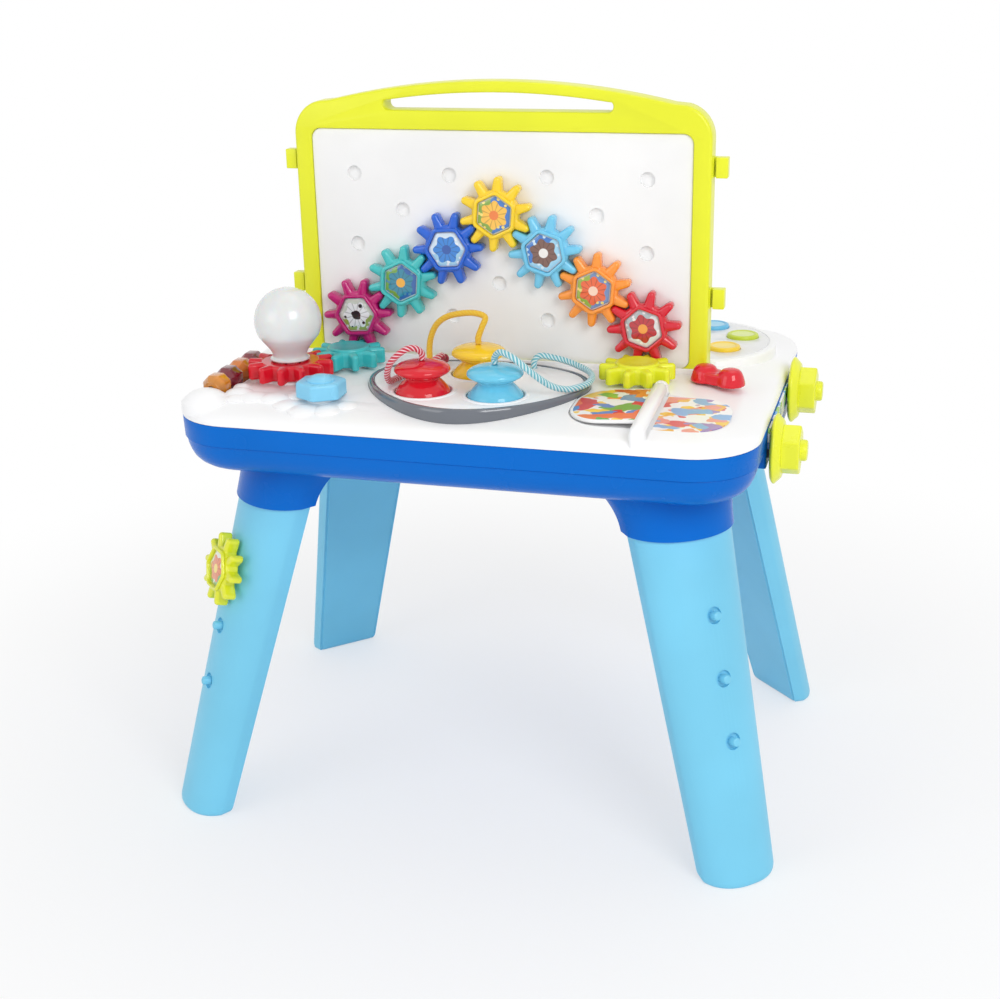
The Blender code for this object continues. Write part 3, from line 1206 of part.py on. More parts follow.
def make_knobs():
    """The two big lime screws on the right side, each on a black hub."""
    hub_end = TABLE_LENGTH / 2 + KNOB_HUB_PROUD
    for name, place in KNOB_PLACES.items():
        hub = disc(KNOB_HUB_RADIUS, TABLE_LENGTH / 2 - 16 * MM, hub_end, steps=12)
        pin = disc(KNOB_HUB_RADIUS * 0.5, hub_end - MM, hub_end + 14 * MM, steps=8)
        hub = joined(hub, pin)
        turned(hub, Matrix.Rotation(pi / 2, 4, "Y"))
        add("knob_hub_" + name, hub, BLACK, (0, *place))
        nut_end = 8 * MM + KNOB_NUT_LENGTH
        knob = lathe([(0, 0), (KNOB_FLANGE - 3 * MM, 0), (KNOB_FLANGE, 1.8 * MM), (KNOB_FLANGE, 3.4 * MM),
                      (KNOB_NUT_RADIUS + 1.5 * MM, 8 * MM), (0, 8 * MM)], 20)
        nut = loft([[(x * size, y * size, z) for x, y in polygon(KNOB_NUT_RADIUS, 6)]
                    for size, z in ((1, 6 * MM), (1, nut_end - 1.5 * MM), (0.92, nut_end))])
        cap = lathe([(0, nut_end - 2 * MM), (KNOB_CAP_RADIUS, nut_end - 2 * MM), (KNOB_CAP_RADIUS, nut_end + 3.5 * MM),
                     (KNOB_CAP_RADIUS - 1.5 * MM, nut_end + 5 * MM), (0, nut_end + 5 * MM)], 12)
        knob = joined(knob, nut, cap)
        knob = cut(knob, disc(KNOB_HUB_RADIUS * 0.5 + RUNNING_GAP, -MM, 15 * MM, steps=8))
        add("knob_" + name, knob, LIME, (hub_end + CLEARANCE, *place), Matrix.Rotation(pi / 2, 4, "Y"))

    panel = block((PANEL_FACE + CLEARANCE, PANEL_START, PANEL_LOW),
                  (PANEL_FACE + CLEARANCE + PANEL_THICKNESS, PANEL_END, PANEL_HIGH))
    for place in KNOB_PLACES.values():
        panel = cut(panel, along_x(KNOB_HUB_RADIUS + MM, TABLE_LENGTH / 2 - 10 * MM, TABLE_LENGTH / 2 + 10 * MM, place, 14))
    add("side_panel", panel, WHITE)


def make_inside():
    """Battery door, battery box, circuit board and speaker."""
    add("battery_door", prism(battery_opening(-CLEARANCE), TRAY_BOTTOM, TRAY_BOTTOM + TRAY_WALL - 0.4 * MM), TRAY_BLUE)
    half_x, half_y = BATTERY_DOOR[0] / 2, BATTERY_DOOR[1] / 2
    floor = TRAY_BOTTOM + TRAY_WALL + CLEARANCE
    box_top = floor + BATTERY_BOX_HEIGHT
    box = block((-half_x - 4 * MM, BATTERY_Y - half_y - 4 * MM, floor), (half_x + 4 * MM, BATTERY_Y + half_y + 4 * MM, box_top))
    box = cut(box, block((-half_x + 2 * MM, BATTERY_Y - half_y + 2 * MM, floor - MM), (half_x - 2 * MM, BATTERY_Y + half_y - 2 * MM, box_top - 2 * MM)))
    add("battery_box", box, BLACK)
    add("circuit_board", block((-half_x, BATTERY_Y - half_y, box_top + CLEARANCE),
                               (half_x, BATTERY_Y + half_y, box_top + CLEARANCE + 1.6 * MM)), (0.02, 0.25, 0.08))
    speaker = lathe([(0, 0), (SPEAKER_RADIUS, 0), (SPEAKER_RADIUS, 3 * MM), (SPEAKER_RADIUS * 0.55, 11 * MM),
                     (SPEAKER_RADIUS * 0.55, 16 * MM), (0, 16 * MM)], 12)
    add("speaker", speaker, BLACK, (*SPEAKER_PLACE, floor))


def centre_on_origin():
    """Stand the table on z = 0 with the middle of its box over the origin; ropes are left out."""
    bpy.context.view_layer.update()
    corners = [item.matrix_world @ vert.co for item in bpy.data.objects if item.type == "MESH"
               for vert in item.data.vertices]
    low = [min(corner[axis] for corner in corners) for axis in range(3)]
    high = [max(corner[axis] for corner in corners) for axis in range(3)]
    table.location = (-(low[0] + high[0]) / 2, -(low[1] + high[1]) / 2, -low[2])


def main():
    make_tray()
    make_leg("leg_front_left", -1, -1)
    make_leg("leg_front_right", 1, -1)
    make_leg("leg_rear_left", -1, 1)
    make_leg("leg_rear_right", 1, 1)
    make_top_cover()
    make_easel()
    make_gears()
    make_table_gears()
    make_plate()
    make_book()
    make_bulb()
    make_nut()
    make_beads()
    make_switch()
    make_buttons()
    make_knobs()
    make_inside()
    centre_on_origin()


main()
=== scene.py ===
"""Activity table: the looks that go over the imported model, piece by piece, in metres."""

from math import asin, atan, atan2, cos, degrees, pi, radians, sin, sqrt

import bmesh
import bpy
from mathutils import Matrix, Vector


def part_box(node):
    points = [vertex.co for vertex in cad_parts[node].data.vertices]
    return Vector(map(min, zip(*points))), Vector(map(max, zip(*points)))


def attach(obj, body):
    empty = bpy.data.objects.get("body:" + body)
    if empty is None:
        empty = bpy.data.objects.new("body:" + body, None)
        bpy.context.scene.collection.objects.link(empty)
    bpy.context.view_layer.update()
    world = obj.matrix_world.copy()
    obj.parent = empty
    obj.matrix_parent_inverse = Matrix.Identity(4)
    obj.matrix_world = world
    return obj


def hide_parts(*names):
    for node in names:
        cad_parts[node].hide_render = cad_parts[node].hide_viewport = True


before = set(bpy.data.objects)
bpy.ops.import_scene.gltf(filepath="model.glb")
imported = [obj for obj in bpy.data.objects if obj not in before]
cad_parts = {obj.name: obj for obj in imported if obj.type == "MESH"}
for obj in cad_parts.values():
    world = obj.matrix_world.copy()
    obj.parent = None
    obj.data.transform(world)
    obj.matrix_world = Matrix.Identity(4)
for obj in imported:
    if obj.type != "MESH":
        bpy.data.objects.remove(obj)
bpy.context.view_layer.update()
MM = 0.001

# Camera: where the photographer stood, in front and to the right of the table's middle and above
# the boards, looking down at the deck.
CAMERA_PLACE = Vector((342.5, -1215.6, 701.7)) * MM
CAMERA_AZIMUTH = radians(16.15)
CAMERA_DIP = radians(20.39)
CAMERA_ROLL = radians(-1.216)
CAMERA_LENS = 56.97
camera_data = bpy.data.cameras.new("camera")
camera_data.lens = CAMERA_LENS
camera_data.sensor_width = 36
camera_data.clip_start = 0.05
camera_data.clip_end = 100
camera = bpy.data.objects.new("camera", camera_data)
bpy.context.scene.collection.objects.link(camera)
forward = Vector((-sin(CAMERA_AZIMUTH) * cos(CAMERA_DIP), cos(CAMERA_AZIMUTH) * cos(CAMERA_DIP),
                  -sin(CAMERA_DIP)))
level = Vector((cos(CAMERA_AZIMUTH), sin(CAMERA_AZIMUTH), 0))
upward = level.cross(forward)
camera_x = level * cos(CAMERA_ROLL) + upward * sin(CAMERA_ROLL)
camera_y = upward * cos(CAMERA_ROLL) - level * sin(CAMERA_ROLL)
camera_turn = Matrix((camera_x, camera_y, -forward)).transposed().to_4x4()
camera.matrix_world = Matrix.Translation(CAMERA_PLACE) @ camera_turn
bpy.context.scene.camera = camera
bpy.context.scene.view_settings.view_transform = "Standard"


# Ropes: three short cotton cords, each tied to the cap of its plug and led through a hole in the
# white plate. Strands of the plug's colour and pale ones are twisted together, and a dark red
# thread is knotted round the foot of the red cord.
cover_low, cover_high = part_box("top_cover")
middle = Vector(((cover_low.x + cover_high.x) / 2, (cover_low.y + cover_high.y) / 2, 0))


class Value:
    """A shader socket that takes part in arithmetic."""

    def __init__(self, finish, socket):
        self.finish = finish
        self.socket = socket

    def math(self, operation, *others):
        return self.finish.node("Math", {"operation": operation}, dict(enumerate((self, *others))))

    def __add__(self, other):
        return self.math("ADD", other)

    __radd__ = __add__

    def __mul__(self, other):
        return self.math("MULTIPLY", other)

    __rmul__ = __mul__

    def __sub__(self, other):
        return self.math("SUBTRACT", other)

    def __rsub__(self, other):
        return self.finish.node("Math", {"operation": "SUBTRACT"}, {0: other, 1: self})

    def __lt__(self, other):
        return self.math("LESS_THAN", other)

    def __gt__(self, other):
        return self.math("GREATER_THAN", other)

    def soft_step(self, low, high):
        """0 below low and 1 above high, with a smooth change between."""
        inputs = {"Value": self, "From Min": low, "From Max": high}
        return self.finish.node("MapRange", {"interpolation_type": "SMOOTHSTEP"}, inputs)


class Finish:
    """One material: a Principled shader and the nodes that feed it."""

    def __init__(self, name, colour, roughness, **constants):
        self.material = bpy.data.materials.new(name)
        self.material.use_nodes = True
        self.tree = self.material.node_tree
        self.shader = self.tree.nodes["Principled BSDF"]
        self.feed("Base Color", colour)
        self.feed("Roughness", roughness)
        for socket, value in constants.items():
            self.feed(socket.replace("_", " "), value)

    def feed(self, socket, value):
        """Set one of the shader's own sockets to a number or a colour, or link it."""
        self.link(self.shader.inputs[socket], value)

    def link(self, socket, value):
        if isinstance(value, Value):
            self.tree.links.new(value.socket, socket)
        elif socket.type == "RGBA" and len(value) == 3:
            socket.default_value = (*value, 1)
        else:
            socket.default_value = value

    def node(self, kind, settings=(), inputs=(), output=0):
        """Any node, from its type, its settings and the values or links of its sockets."""
        node = self.tree.nodes.new("ShaderNode" + kind)
        for key, value in dict(settings).items():
            setattr(node, key, value)
        for key, value in dict(inputs).items():
            self.link(node.inputs[key], value)
        return Value(self, node.outputs[output])

    def place(self, centre=(0, 0, 0)):
        """The point on the piece, seen from a centre."""
        inputs = {"Vector": self.node("TexCoord", output="Object"), "Location": centre}
        return self.node("Mapping", {"vector_type": "TEXTURE"}, inputs)

    def own_place(self):
        """The point on the piece in the frame that it was drawn in."""
        return self.node("Attribute", {"attribute_name": "own_place"}, output="Vector")

    def split(self, vector):
        """The three numbers of a vector."""
        node = self.node("SeparateXYZ", inputs={"Vector": vector}).socket.node
        return [Value(self, socket) for socket in node.outputs]

    def noise(self, scale, detail=2.0, spot=None):
        inputs = {"Vector": spot or self.place(), "Scale": scale, "Detail": detail}
        return self.node("TexNoise", inputs=inputs)

    def mix(self, share, first, second):
        """A colour between two colours."""
        return self.node("Mix", {"data_type": "RGBA"}, {0: share, 6: first, 7: second}, 2)

    def bump(self, height, distance):
        self.feed("Normal", self.node("Bump", inputs={"Height": height, "Distance": distance}))


def paint(red, green, blue):
    """A colour as a screen shows it, from 0 to 255, turned into the shaders' own numbers."""
    return tuple(((channel / 255 + 0.055) / 1.055) ** 2.4 for channel in (red, green, blue))


def deeper(colour, share=0.9):
    return tuple(channel * share for channel in colour)


def as_object(bm, name="shape"):
    """An object of the scene with the mesh in it; the bmesh is used up."""
    mesh = bpy.data.meshes.new(name)
    bm.to_mesh(mesh)
    bm.free()
    shape = bpy.data.objects.new(name, mesh)
    bpy.context.scene.collection.objects.link(shape)
    return shape


def finished(name, bm, finish, body, replaces=(), slot=None, smooth=35, matrix=None):
    """A finished piece: its mesh in the table's frame, its material and the body it rides on."""
    if matrix is not None:
        own_place = bm.verts.layers.float_vector.new("own_place")
        for vert in bm.verts:
            vert[own_place] = vert.co
        bmesh.ops.transform(bm, matrix=matrix, verts=bm.verts)
    piece = as_object(bm, name)
    piece.data.shade_smooth()
    piece.data.set_sharp_from_angle(angle=radians(smooth))
    piece.data.materials.append(finish.material)
    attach(piece, body)
    if replaces:
        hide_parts(*replaces)
    return piece


PLATE_TOP = 360.3 * MM
PLUG_HEIGHT = 23.5 * MM
ROPE_RADIUS = 2.5 * MM
ROPE_TAIL = 32 * MM
STRAND_PITCH = 13 * MM
STRANDS = 8
PLUG_PLACES = {"red": (-32.5, -117), "yellow": (-4, -62), "blue": (25, -117)}
ROPE_ENDS = {"red": (-40, -41), "yellow": (-51, -43), "blue": (34, -37)}
ROPE_ROUTES = {
    "red": [(-36, -121, 34), (-42, -125, 34), (-49, -128, 29), (-55, -127, 22), (-59.5, -121, 12),
            (-61, -112, 4.5), (-60, -100, 3.2), (-56, -86, 3.2), (-51, -72, 3.2), (-46, -60, 5),
            (-41.5, -50, 8), (-40, -43.5, 7)],
    "yellow": [(-1.5, -60, 37), (0, -56, 44), (-9, -54, 46.5), (-22, -52, 45),
               (-34, -49, 41), (-43, -46.5, 34), (-48.5, -44.5, 24), (-51, -43.2, 13)],
    "blue": [(31, -122.5, 35), (41, -127, 33), (50, -126, 26), (58, -122, 18),
             (67, -114, 9), (76, -105, 4.2), (84, -95, 3.4), (88.5, -82, 3.4), (88, -66, 3.6),
             (82, -52, 3.8), (72, -42, 4.6), (60, -35.5, 6.5), (48, -34, 8.5), (39, -35.2, 9.5),
             (34.6, -36.6, 6)],
}


def smooth_line(points, step):
    """Points at even steps along a smooth curve through the given ones."""
    padded = [2 * points[0] - points[1]] + points + [2 * points[-1] - points[-2]]
    dense = []
    for index in range(1, len(padded) - 2):
        before, start, end, after = padded[index - 1:index + 3]
        for part in range(24):
            t = part / 24
            dense.append(0.5 * (2 * start + (end - before) * t
                                + (2 * before - 5 * start + 4 * end - after) * t ** 2
                                + (3 * start - 3 * end + after - before) * t ** 3))
    dense.append(points[-1])
    line, walked = [dense[0]], 0.0
    for first, second in zip(dense, dense[1:]):
        walked += (second - first).length
        if walked >= step:
            line.append(second)
            walked = 0.0
    return line + [dense[-1]] if walked > step / 4 else line


def rope_finish(name, colour, second, share):
    """Twisted cotton: strands in two colours that follow the mesh's own turns, with a fuzzy nap."""
    finish = Finish(name, colour, 0.85, Sheen_Weight=0.3)
    strand = finish.node("Attribute", {"attribute_name": "strand"}, output="Fac")
    fibre = finish.noise(2600, 3)
    other = finish.mix(fibre, second, deeper(second, 0.86))
    main = finish.mix(fibre, colour, deeper(colour, 0.74))
    finish.feed("Base Color", finish.mix(strand.soft_step(share - 0.06, share + 0.06), other, main))
    finish.bump(fibre, 0.0002)
    return finish


rope_finishes = {
    "red": rope_finish("rope_red", paint(212, 48, 72), paint(246, 214, 220), 0.34),
    "yellow": rope_finish("rope_yellow", paint(252, 208, 66), paint(246, 192, 44), 0.40),
    "blue": rope_finish("rope_blue", paint(112, 196, 212), paint(222, 241, 244), 0.46),
}


def twisted_rope(line, radius, pitch, strands=STRANDS, sides=48):
    """A closed tube whose lobed section turns as it goes; strand is 1 and 0 on alternate lobes."""
    bm = bmesh.new()
    layer = bm.verts.layers.float.new("strand")
    across = (line[1] - line[0]).orthogonal().normalized()
    walked = 0.0
    loops = []
    for index, point in enumerate(line):
        ahead = (line[min(index + 1, len(line) - 1)] - line[max(index - 1, 0)]).normalized()
        across = (across - ahead * across.dot(ahead)).normalized()
        beside = ahead.cross(across)
        if index:
            walked += (point - line[index - 1]).length
        twist = 2 * pi * walked / pitch
        loop = []
        for side in range(sides):
            angle = 2 * pi * side / sides
            wave = cos(strands * (angle - twist) / 2)
            reach = radius * (0.88 + 0.13 * abs(wave))
            vert = bm.verts.new(point + (across * cos(angle) + beside * sin(angle)) * reach)
            vert[layer] = (1 + wave) / 2
            loop.append(vert)
        loops.append(loop)
    for lower, upper in zip(loops, loops[1:]):
        for side in range(sides):
            after = (side + 1) % sides
            bm.faces.new((lower[side], lower[after], upper[after], upper[side]))
    bm.faces.new(reversed(loops[0]))
    bm.faces.new(loops[-1])
    bmesh.ops.recalc_face_normals(bm, faces=bm.faces)
    return bm


def thread_knot(centre, size, radius):
    """A thread pulled into a tight threefold knot about a point."""
    line = []
    steps = 120
    for step in range(steps + 1):
        turn = 2 * pi * step / steps
        spot = Vector((sin(turn) + 2 * sin(2 * turn), cos(turn) - 2 * cos(2 * turn),
                       -1.6 * sin(3 * turn)))
        line.append(centre + spot * size / 3)
    return twisted_rope(line, radius, 5 * MM, 2, 12)


KNOT_PLACE = (-39.3, -44.8, 5.4)
KNOT_SIZE = 3.5 * MM
THREAD_RADIUS = 1.5 * MM
knot_finish = Finish("knot_thread", paint(176, 52, 72), 0.9, Sheen_Weight=0.4)
knot_fibre = knot_finish.noise(2400, 3)
knot_finish.feed("Base Color", knot_finish.mix(knot_fibre, paint(192, 70, 90), paint(140, 26, 48)))
knot_finish.bump(knot_fibre, 0.0002)
knot_centre = middle + Vector((0, 0, PLATE_TOP)) + Vector(KNOT_PLACE) * MM
knot = finished("rope_red_knot", thread_knot(knot_centre, KNOT_SIZE, THREAD_RADIUS), knot_finish,
                "plug_red", slot="dark_red_plastic", smooth=60)

for name, route in ROPE_ROUTES.items():
    end = Vector((*ROPE_ENDS[name], 0)) * MM
    start = Vector((*PLUG_PLACES[name], 0)) * MM + Vector((0, 0, PLUG_HEIGHT + 0.9 * MM))
    points = [start, start + Vector((0, 0, 2 * ROPE_RADIUS))]
    points += [Vector(point) * MM for point in route]
    points += [end, end - Vector((0, 0, ROPE_TAIL / 2)), end - Vector((0, 0, ROPE_TAIL))]
    base = middle + Vector((0, 0, PLATE_TOP))
    line = smooth_line([point + base for point in points], 0.5 * MM)
    length = sum((second - first).length for first, second in zip(line, line[1:]))
    rope = finished("rope_" + name + "_twisted", twisted_rope(line, ROPE_RADIUS, STRAND_PITCH),
                    rope_finishes[name], "plug_" + name, ["rope_" + name],
                    {"red": "red_rope", "yellow": "yellow_rope", "blue": "pale_blue_rope"}[name],
                    60)
    line[::4] + [line[-1]]
    [knot] if name == "red" else []


# Tray: a deep blue injection-moulded tub with round corners. Its wall steps in at a fine seam,
# curls under to a smaller flat bottom, and flares down into a collar at each leg. The right wall
# carries a flat boss for the two knobs, and the bottom has a speaker grille.
TABLE_LENGTH = 452 * MM
TABLE_DEPTH = 352 * MM
CORNER_RADIUS = 51 * MM
COVER_LINE = 340 * MM
TRAY_BOTTOM = 297 * MM
TRAY_WALL = 3 * MM
SEAM = 323 * MM
LEG_LENGTH = 300 * MM
LEG_OUT = (166.6, 94.8)
LEG_SIDE = (43, 2.9)
LEG_WIDTH = (93, -25.6)
LEG_THICKNESS = (40.8, -8.8)
LEG_FACE = (41.4, -8.9)
COLLAR_BOTTOM = 262 * MM
COLLAR_FLARE = 13 * MM
BOSS_FACE = 226.2 * MM
BOSS_LOW = 308.4 * MM
BOSS_ENDS = (-93 * MM, 66 * MM)
KNOB_PLACES = {"front": (-78 * MM, 320 * MM), "rear": (43 * MM, 331 * MM)}
KNOB_HUB_RADIUS = 7.6 * MM
FIT = 0.3 * MM
GRILLE_PLACE = (0, -90 * MM)
GRILLE_REACH = 21 * MM
DOOR_SIZE = (90 * MM, 58 * MM)
DOOR_Y = 35 * MM


def moulded(name, colour, roughness=0.3, grain=0.00002, **constants):
    """Moulded plastic: even colour with faint flow marks, a fine skin and slightly uneven gloss."""
    finish = Finish(name, colour, roughness, **constants)
    flow = finish.noise(9, 3).soft_step(0.35, 0.65)
    finish.feed("Base Color", finish.mix(flow, colour, deeper(colour, 0.94)))
    finish.feed("Roughness", finish.noise(35, 3) * 0.1 + (roughness - 0.05))
    finish.bump(finish.noise(900), grain)
    return finish


def loft(rings, closed=False):
    """Faces between rings of equally many points; a closed loft joins its two end rings."""
    bm = bmesh.new()
    loops = [[bm.verts.new(point) for point in ring] for ring in rings]
    pairs = list(zip(loops, loops[1:]))
    if closed:
        pairs.append((loops[-1], loops[0]))
    for lower, upper in pairs:
        for index in range(len(lower)):
            after = (index + 1) % len(lower)
            bm.faces.new((lower[index], lower[after], upper[after], upper[index]))
    if not closed:
        bm.faces.new(reversed(loops[0]))
        bm.faces.new(loops[-1])
    bmesh.ops.recalc_face_normals(bm, faces=bm.faces)
    return bm


def rounded_rectangle(half_x, half_y, radius, steps):
    """The corner points of a rectangle with round corners, about the origin."""
    outline = []
    for quarter, (side_x, side_y) in enumerate(((1, 1), (-1, 1), (-1, -1), (1, -1))):
        for step in range(steps + 1):
            angle = (quarter + step / steps) * pi / 2
            outline.append((side_x * (half_x - radius) + radius * cos(angle),
                            side_y * (half_y - radius) + radius * sin(angle)))
    return outline


def raised_to(height, outline, origin=middle):
    """An outline of (x, y) points about the table's middle, at one height."""
    return [origin + Vector((x, y, height)) for x, y in outline]


def table_ring(inset, height, steps=14):
    """The table's outline drawn in by an inset, at one height."""
    radius = max(CORNER_RADIUS - inset, 6 * MM)
    outline = rounded_rectangle(TABLE_LENGTH / 2 - inset, TABLE_DEPTH / 2 - inset, radius, steps)
    return raised_to(height, outline)


def leg_measure(pair, share):
    """A measure given at the leg's top, with what it gains on the way down to the floor."""
    return (pair[0] + pair[1] * share) * MM


def leg_section(height, grow=0.0, flare=0.0, steps=28):
    """The leg's D section in its own diagonal frame: round outside, flat towards the middle."""
    share = 1 - height / LEG_LENGTH
    out, side = leg_measure(LEG_OUT, share), leg_measure(LEG_SIDE, share)
    width = leg_measure(LEG_WIDTH, share) + 2 * grow + 2 * flare
    thickness = leg_measure(LEG_THICKNESS, share) + 2 * grow
    out -= grow + flare
    thickness += flare
    corner = min(6 * MM, thickness / 3)
    section = []
    for step in range(steps + 1):
        angle = radians(-78 + 156 * step / steps)
        section.append((out + thickness * cos(angle) ** 0.8, side + width / 2 * sin(angle)))
    for across, turns in ((1, (60, 30, 0)), (-1, (0, 30, 60))):
        for turn in turns:
            reach = corner * (1 - sin(radians(turn))) * 0.4 * (turn > 0)
            section.append((out + reach, side + across * (width / 2 - corner * cos(radians(turn)))))
    return [Vector((out + side, out - side)) / sqrt(2) for out, side in section]


def at_corner(section, height, right, back):
    """A leg section taken to one of the table's corners."""
    return raised_to(height, [(x * right, y * back) for x, y in section])


def worked_out(*shapes):
    """The first object's mesh as its modifiers leave it; the objects are removed."""
    result = bmesh.new()
    made = shapes[0].evaluated_get(bpy.context.evaluated_depsgraph_get())
    result.from_mesh(made.to_mesh())
    for shape in shapes:
        mesh = shape.data
        bpy.data.objects.remove(shape)
        bpy.data.meshes.remove(mesh)
    return result


def combined(base, tool, operation):
    """The exact boolean of two closed meshes; both are used up."""
    shape, cutter = as_object(base), as_object(tool)
    modifier = shape.modifiers.new("boolean", "BOOLEAN")
    modifier.operation = operation
    modifier.solver = "EXACT"
    modifier.object = cutter
    return worked_out(shape, cutter)


def united(base, *tools):
    for tool in tools:
        base = combined(base, tool, "UNION")
    return base


def carved(base, *tools):
    for tool in tools:
        base = combined(base, tool, "DIFFERENCE")
    return base


def prism(outline, low, high, origin=middle):
    """An outline of (x, y) points raised between two heights."""
    return loft([raised_to(height, outline, origin) for height in (low, high)])


def lathe(profile, steps, matrix=None, closed=False):
    """Turn a profile of (radius, height) about Z; an open one starts and ends on the axis."""
    bm = bmesh.new()
    rings = []
    for radius, height in profile:
        if radius == 0:
            rings.append([bm.verts.new((0, 0, height))])
            continue
        turns = [2 * pi * step / steps for step in range(steps)]
        rings.append([bm.verts.new((radius * cos(turn), radius * sin(turn), height))
                      for turn in turns])
    pairs = list(zip(rings, rings[1:]))
    if closed:
        pairs.append((rings[-1], rings[0]))
    for first, second in pairs:
        for step in range(steps):
            after = (step + 1) % steps
            corners = (first[step % len(first)], first[after % len(first)],
                       second[after % len(second)], second[step % len(second)])
            corners = tuple(dict.fromkeys(corners))
            if len(corners) > 2:
                bm.faces.new(corners)
    bmesh.ops.recalc_face_normals(bm, faces=bm.faces)
    if matrix is not None:
        bmesh.ops.transform(bm, matrix=matrix, verts=bm.verts)
    return bm


def box_outline(low, high, radius, steps=4):
    """A rectangle with round corners between two opposite corners."""
    half_x, half_y = (high[0] - low[0]) / 2, (high[1] - low[1]) / 2
    centre_x, centre_y = (high[0] + low[0]) / 2, (high[1] + low[1]) / 2
    return [(centre_x + x, centre_y + y)
            for x, y in rounded_rectangle(half_x, half_y, radius, steps)]


def near(radius, height, offsets):
    """Profile points given by their millimetres from one (radius, height)."""
    return [(radius + out * MM, height + up * MM) for out, up in offsets]


def rod(radius, low, high):
    """The profile of a plain cylinder between two heights."""
    return [(0, low), (radius, low), (radius, high), (0, high)]


def shifted(x, y, height=0.0):
    """A move from the table's middle."""
    return Matrix.Translation(middle + Vector((x, y, height)))


def along_x(profile, place, steps=40):
    """A profile of (radius, x) turned about an axis along X through a (y, z) place."""
    return lathe(profile, steps, shifted(0, *place) @ Matrix.Rotation(pi / 2, 4, "Y"))


def centred_box(x, y, half_x, half_y, radius):
    """A rectangle with round corners about a middle point."""
    return box_outline((x - half_x, y - half_y), (x + half_x, y + half_y), radius)


def door_outline(grow):
    """The battery door's outline, grown by a margin."""
    return centred_box(0, DOOR_Y, DOOR_SIZE[0] / 2 + grow, DOOR_SIZE[1] / 2 + grow, 5 * MM + grow)


tray_finish = moulded("tray_blue", paint(0, 108, 206), 0.26, Specular_IOR_Level=0.12)
TRAY_CURL = [(35, 0), (27, 0.4), (20, 1.6), (14.5, 4), (10, 7), (6.4, 11), (4, 16), (2.6, 20.5),
             (2.0, 24.4)]
outside = near(0, TRAY_BOTTOM, TRAY_CURL)
outside += near(0, SEAM, [(1.7, -0.8), (1.9, -0.3), (0.6, 0.2), (0.3, 8)])
outside += near(0, COVER_LINE, [(0, -1), (0.25, -0.3)])
inside = near(TRAY_WALL, COVER_LINE, [(0.25, -0.3)]) + near(TRAY_WALL, SEAM, [(4, -8)])
inside += [(TRAY_WALL + 20 * MM, TRAY_BOTTOM + 2.2 * TRAY_WALL),
           (TRAY_WALL + 35 * MM, TRAY_BOTTOM + TRAY_WALL)]
tray = loft([table_ring(*spot) for spot in outside + inside])
boss_outline = box_outline((TABLE_LENGTH / 2 - 10 * MM, BOSS_ENDS[0]), (BOSS_FACE, BOSS_ENDS[1]),
                           1.5 * MM)
lid_room = COVER_LINE - 8 * MM
strip_outline = box_outline((TABLE_LENGTH / 2 - 2.5 * MM, BOSS_ENDS[0]), (BOSS_FACE, BOSS_ENDS[1]),
                            1.2 * MM)
tray = united(tray, prism(boss_outline, BOSS_LOW, lid_room),
              prism(strip_outline, lid_room - MM, COVER_LINE - FIT))
for right in (-1, 1):
    for back in (-1, 1):
        rings = []
        collar_steps = 12
        for step in range(collar_steps + 1):
            share = step / collar_steps
            height = COLLAR_BOTTOM + (TRAY_BOTTOM + 2 * MM - COLLAR_BOTTOM) * share
            rings.append(at_corner(leg_section(height, 3 * MM, COLLAR_FLARE * share ** 2.2), height,
                                   right, back))
        tray = united(tray, loft(rings))
        heights = (COLLAR_BOTTOM - 2 * MM, 293 * MM)
        pocket = [at_corner(leg_section(height, FIT), height, right, back) for height in heights]
        tray = carved(tray, loft(pocket))
hub_bore = rod(KNOB_HUB_RADIUS + FIT, TABLE_LENGTH / 2 - 20 * MM, TABLE_LENGTH / 2 + 10 * MM)
for place in KNOB_PLACES.values():
    tray = carved(tray, along_x(hub_bore, place))
tray = carved(tray, prism(door_outline(FIT), TRAY_BOTTOM - MM, TRAY_BOTTOM + 2 * TRAY_WALL))
for offset in (-14 * MM, -7 * MM, 0, 7 * MM, 14 * MM):
    reach = sqrt(GRILLE_REACH ** 2 - offset ** 2)
    slit = centred_box(GRILLE_PLACE[0], GRILLE_PLACE[1] + offset, reach, 1.4 * MM, 1.35 * MM)
    tray = carved(tray, prism(slit, TRAY_BOTTOM - MM, TRAY_BOTTOM + 2 * TRAY_WALL))
finished("tray_shell", tray, tray_finish, "base", ["tray"], "tray_blue")


# Battery door and screws: a loose panel of the tray's own plastic closes the batteries' box, and
# pan-head screws with a cross slot, zinc-plated, hold the door and the top cover.
door_finish = moulded("battery_door_blue", paint(4, 108, 206), 0.3)


def rounded(bm, width, segments=3, sharper_than=40):
    """Round the edges at which two faces meet at more than the given angle."""
    edges = [edge for edge in bm.edges if len(edge.link_faces) == 2
             and edge.calc_face_angle() > radians(sharper_than)]
    bmesh.ops.bevel(bm, geom=edges, offset=width, segments=segments, profile=0.5, affect="EDGES",
                    clamp_overlap=True)
    return bm


door = rounded(prism(door_outline(-FIT), TRAY_BOTTOM, TRAY_BOTTOM + TRAY_WALL - 0.4 * MM), 0.5 * MM)
for side in (-1, 1):
    notch = centred_box(side * 20 * MM, DOOR_Y - 22.5 * MM, 7 * MM, 1.5 * MM, 1.4 * MM)
    door = carved(door, prism(notch, TRAY_BOTTOM - MM, TRAY_BOTTOM + 0.8 * MM))
finished("battery_door_panel", door, door_finish, "base", ["battery_door"], "tray_blue")


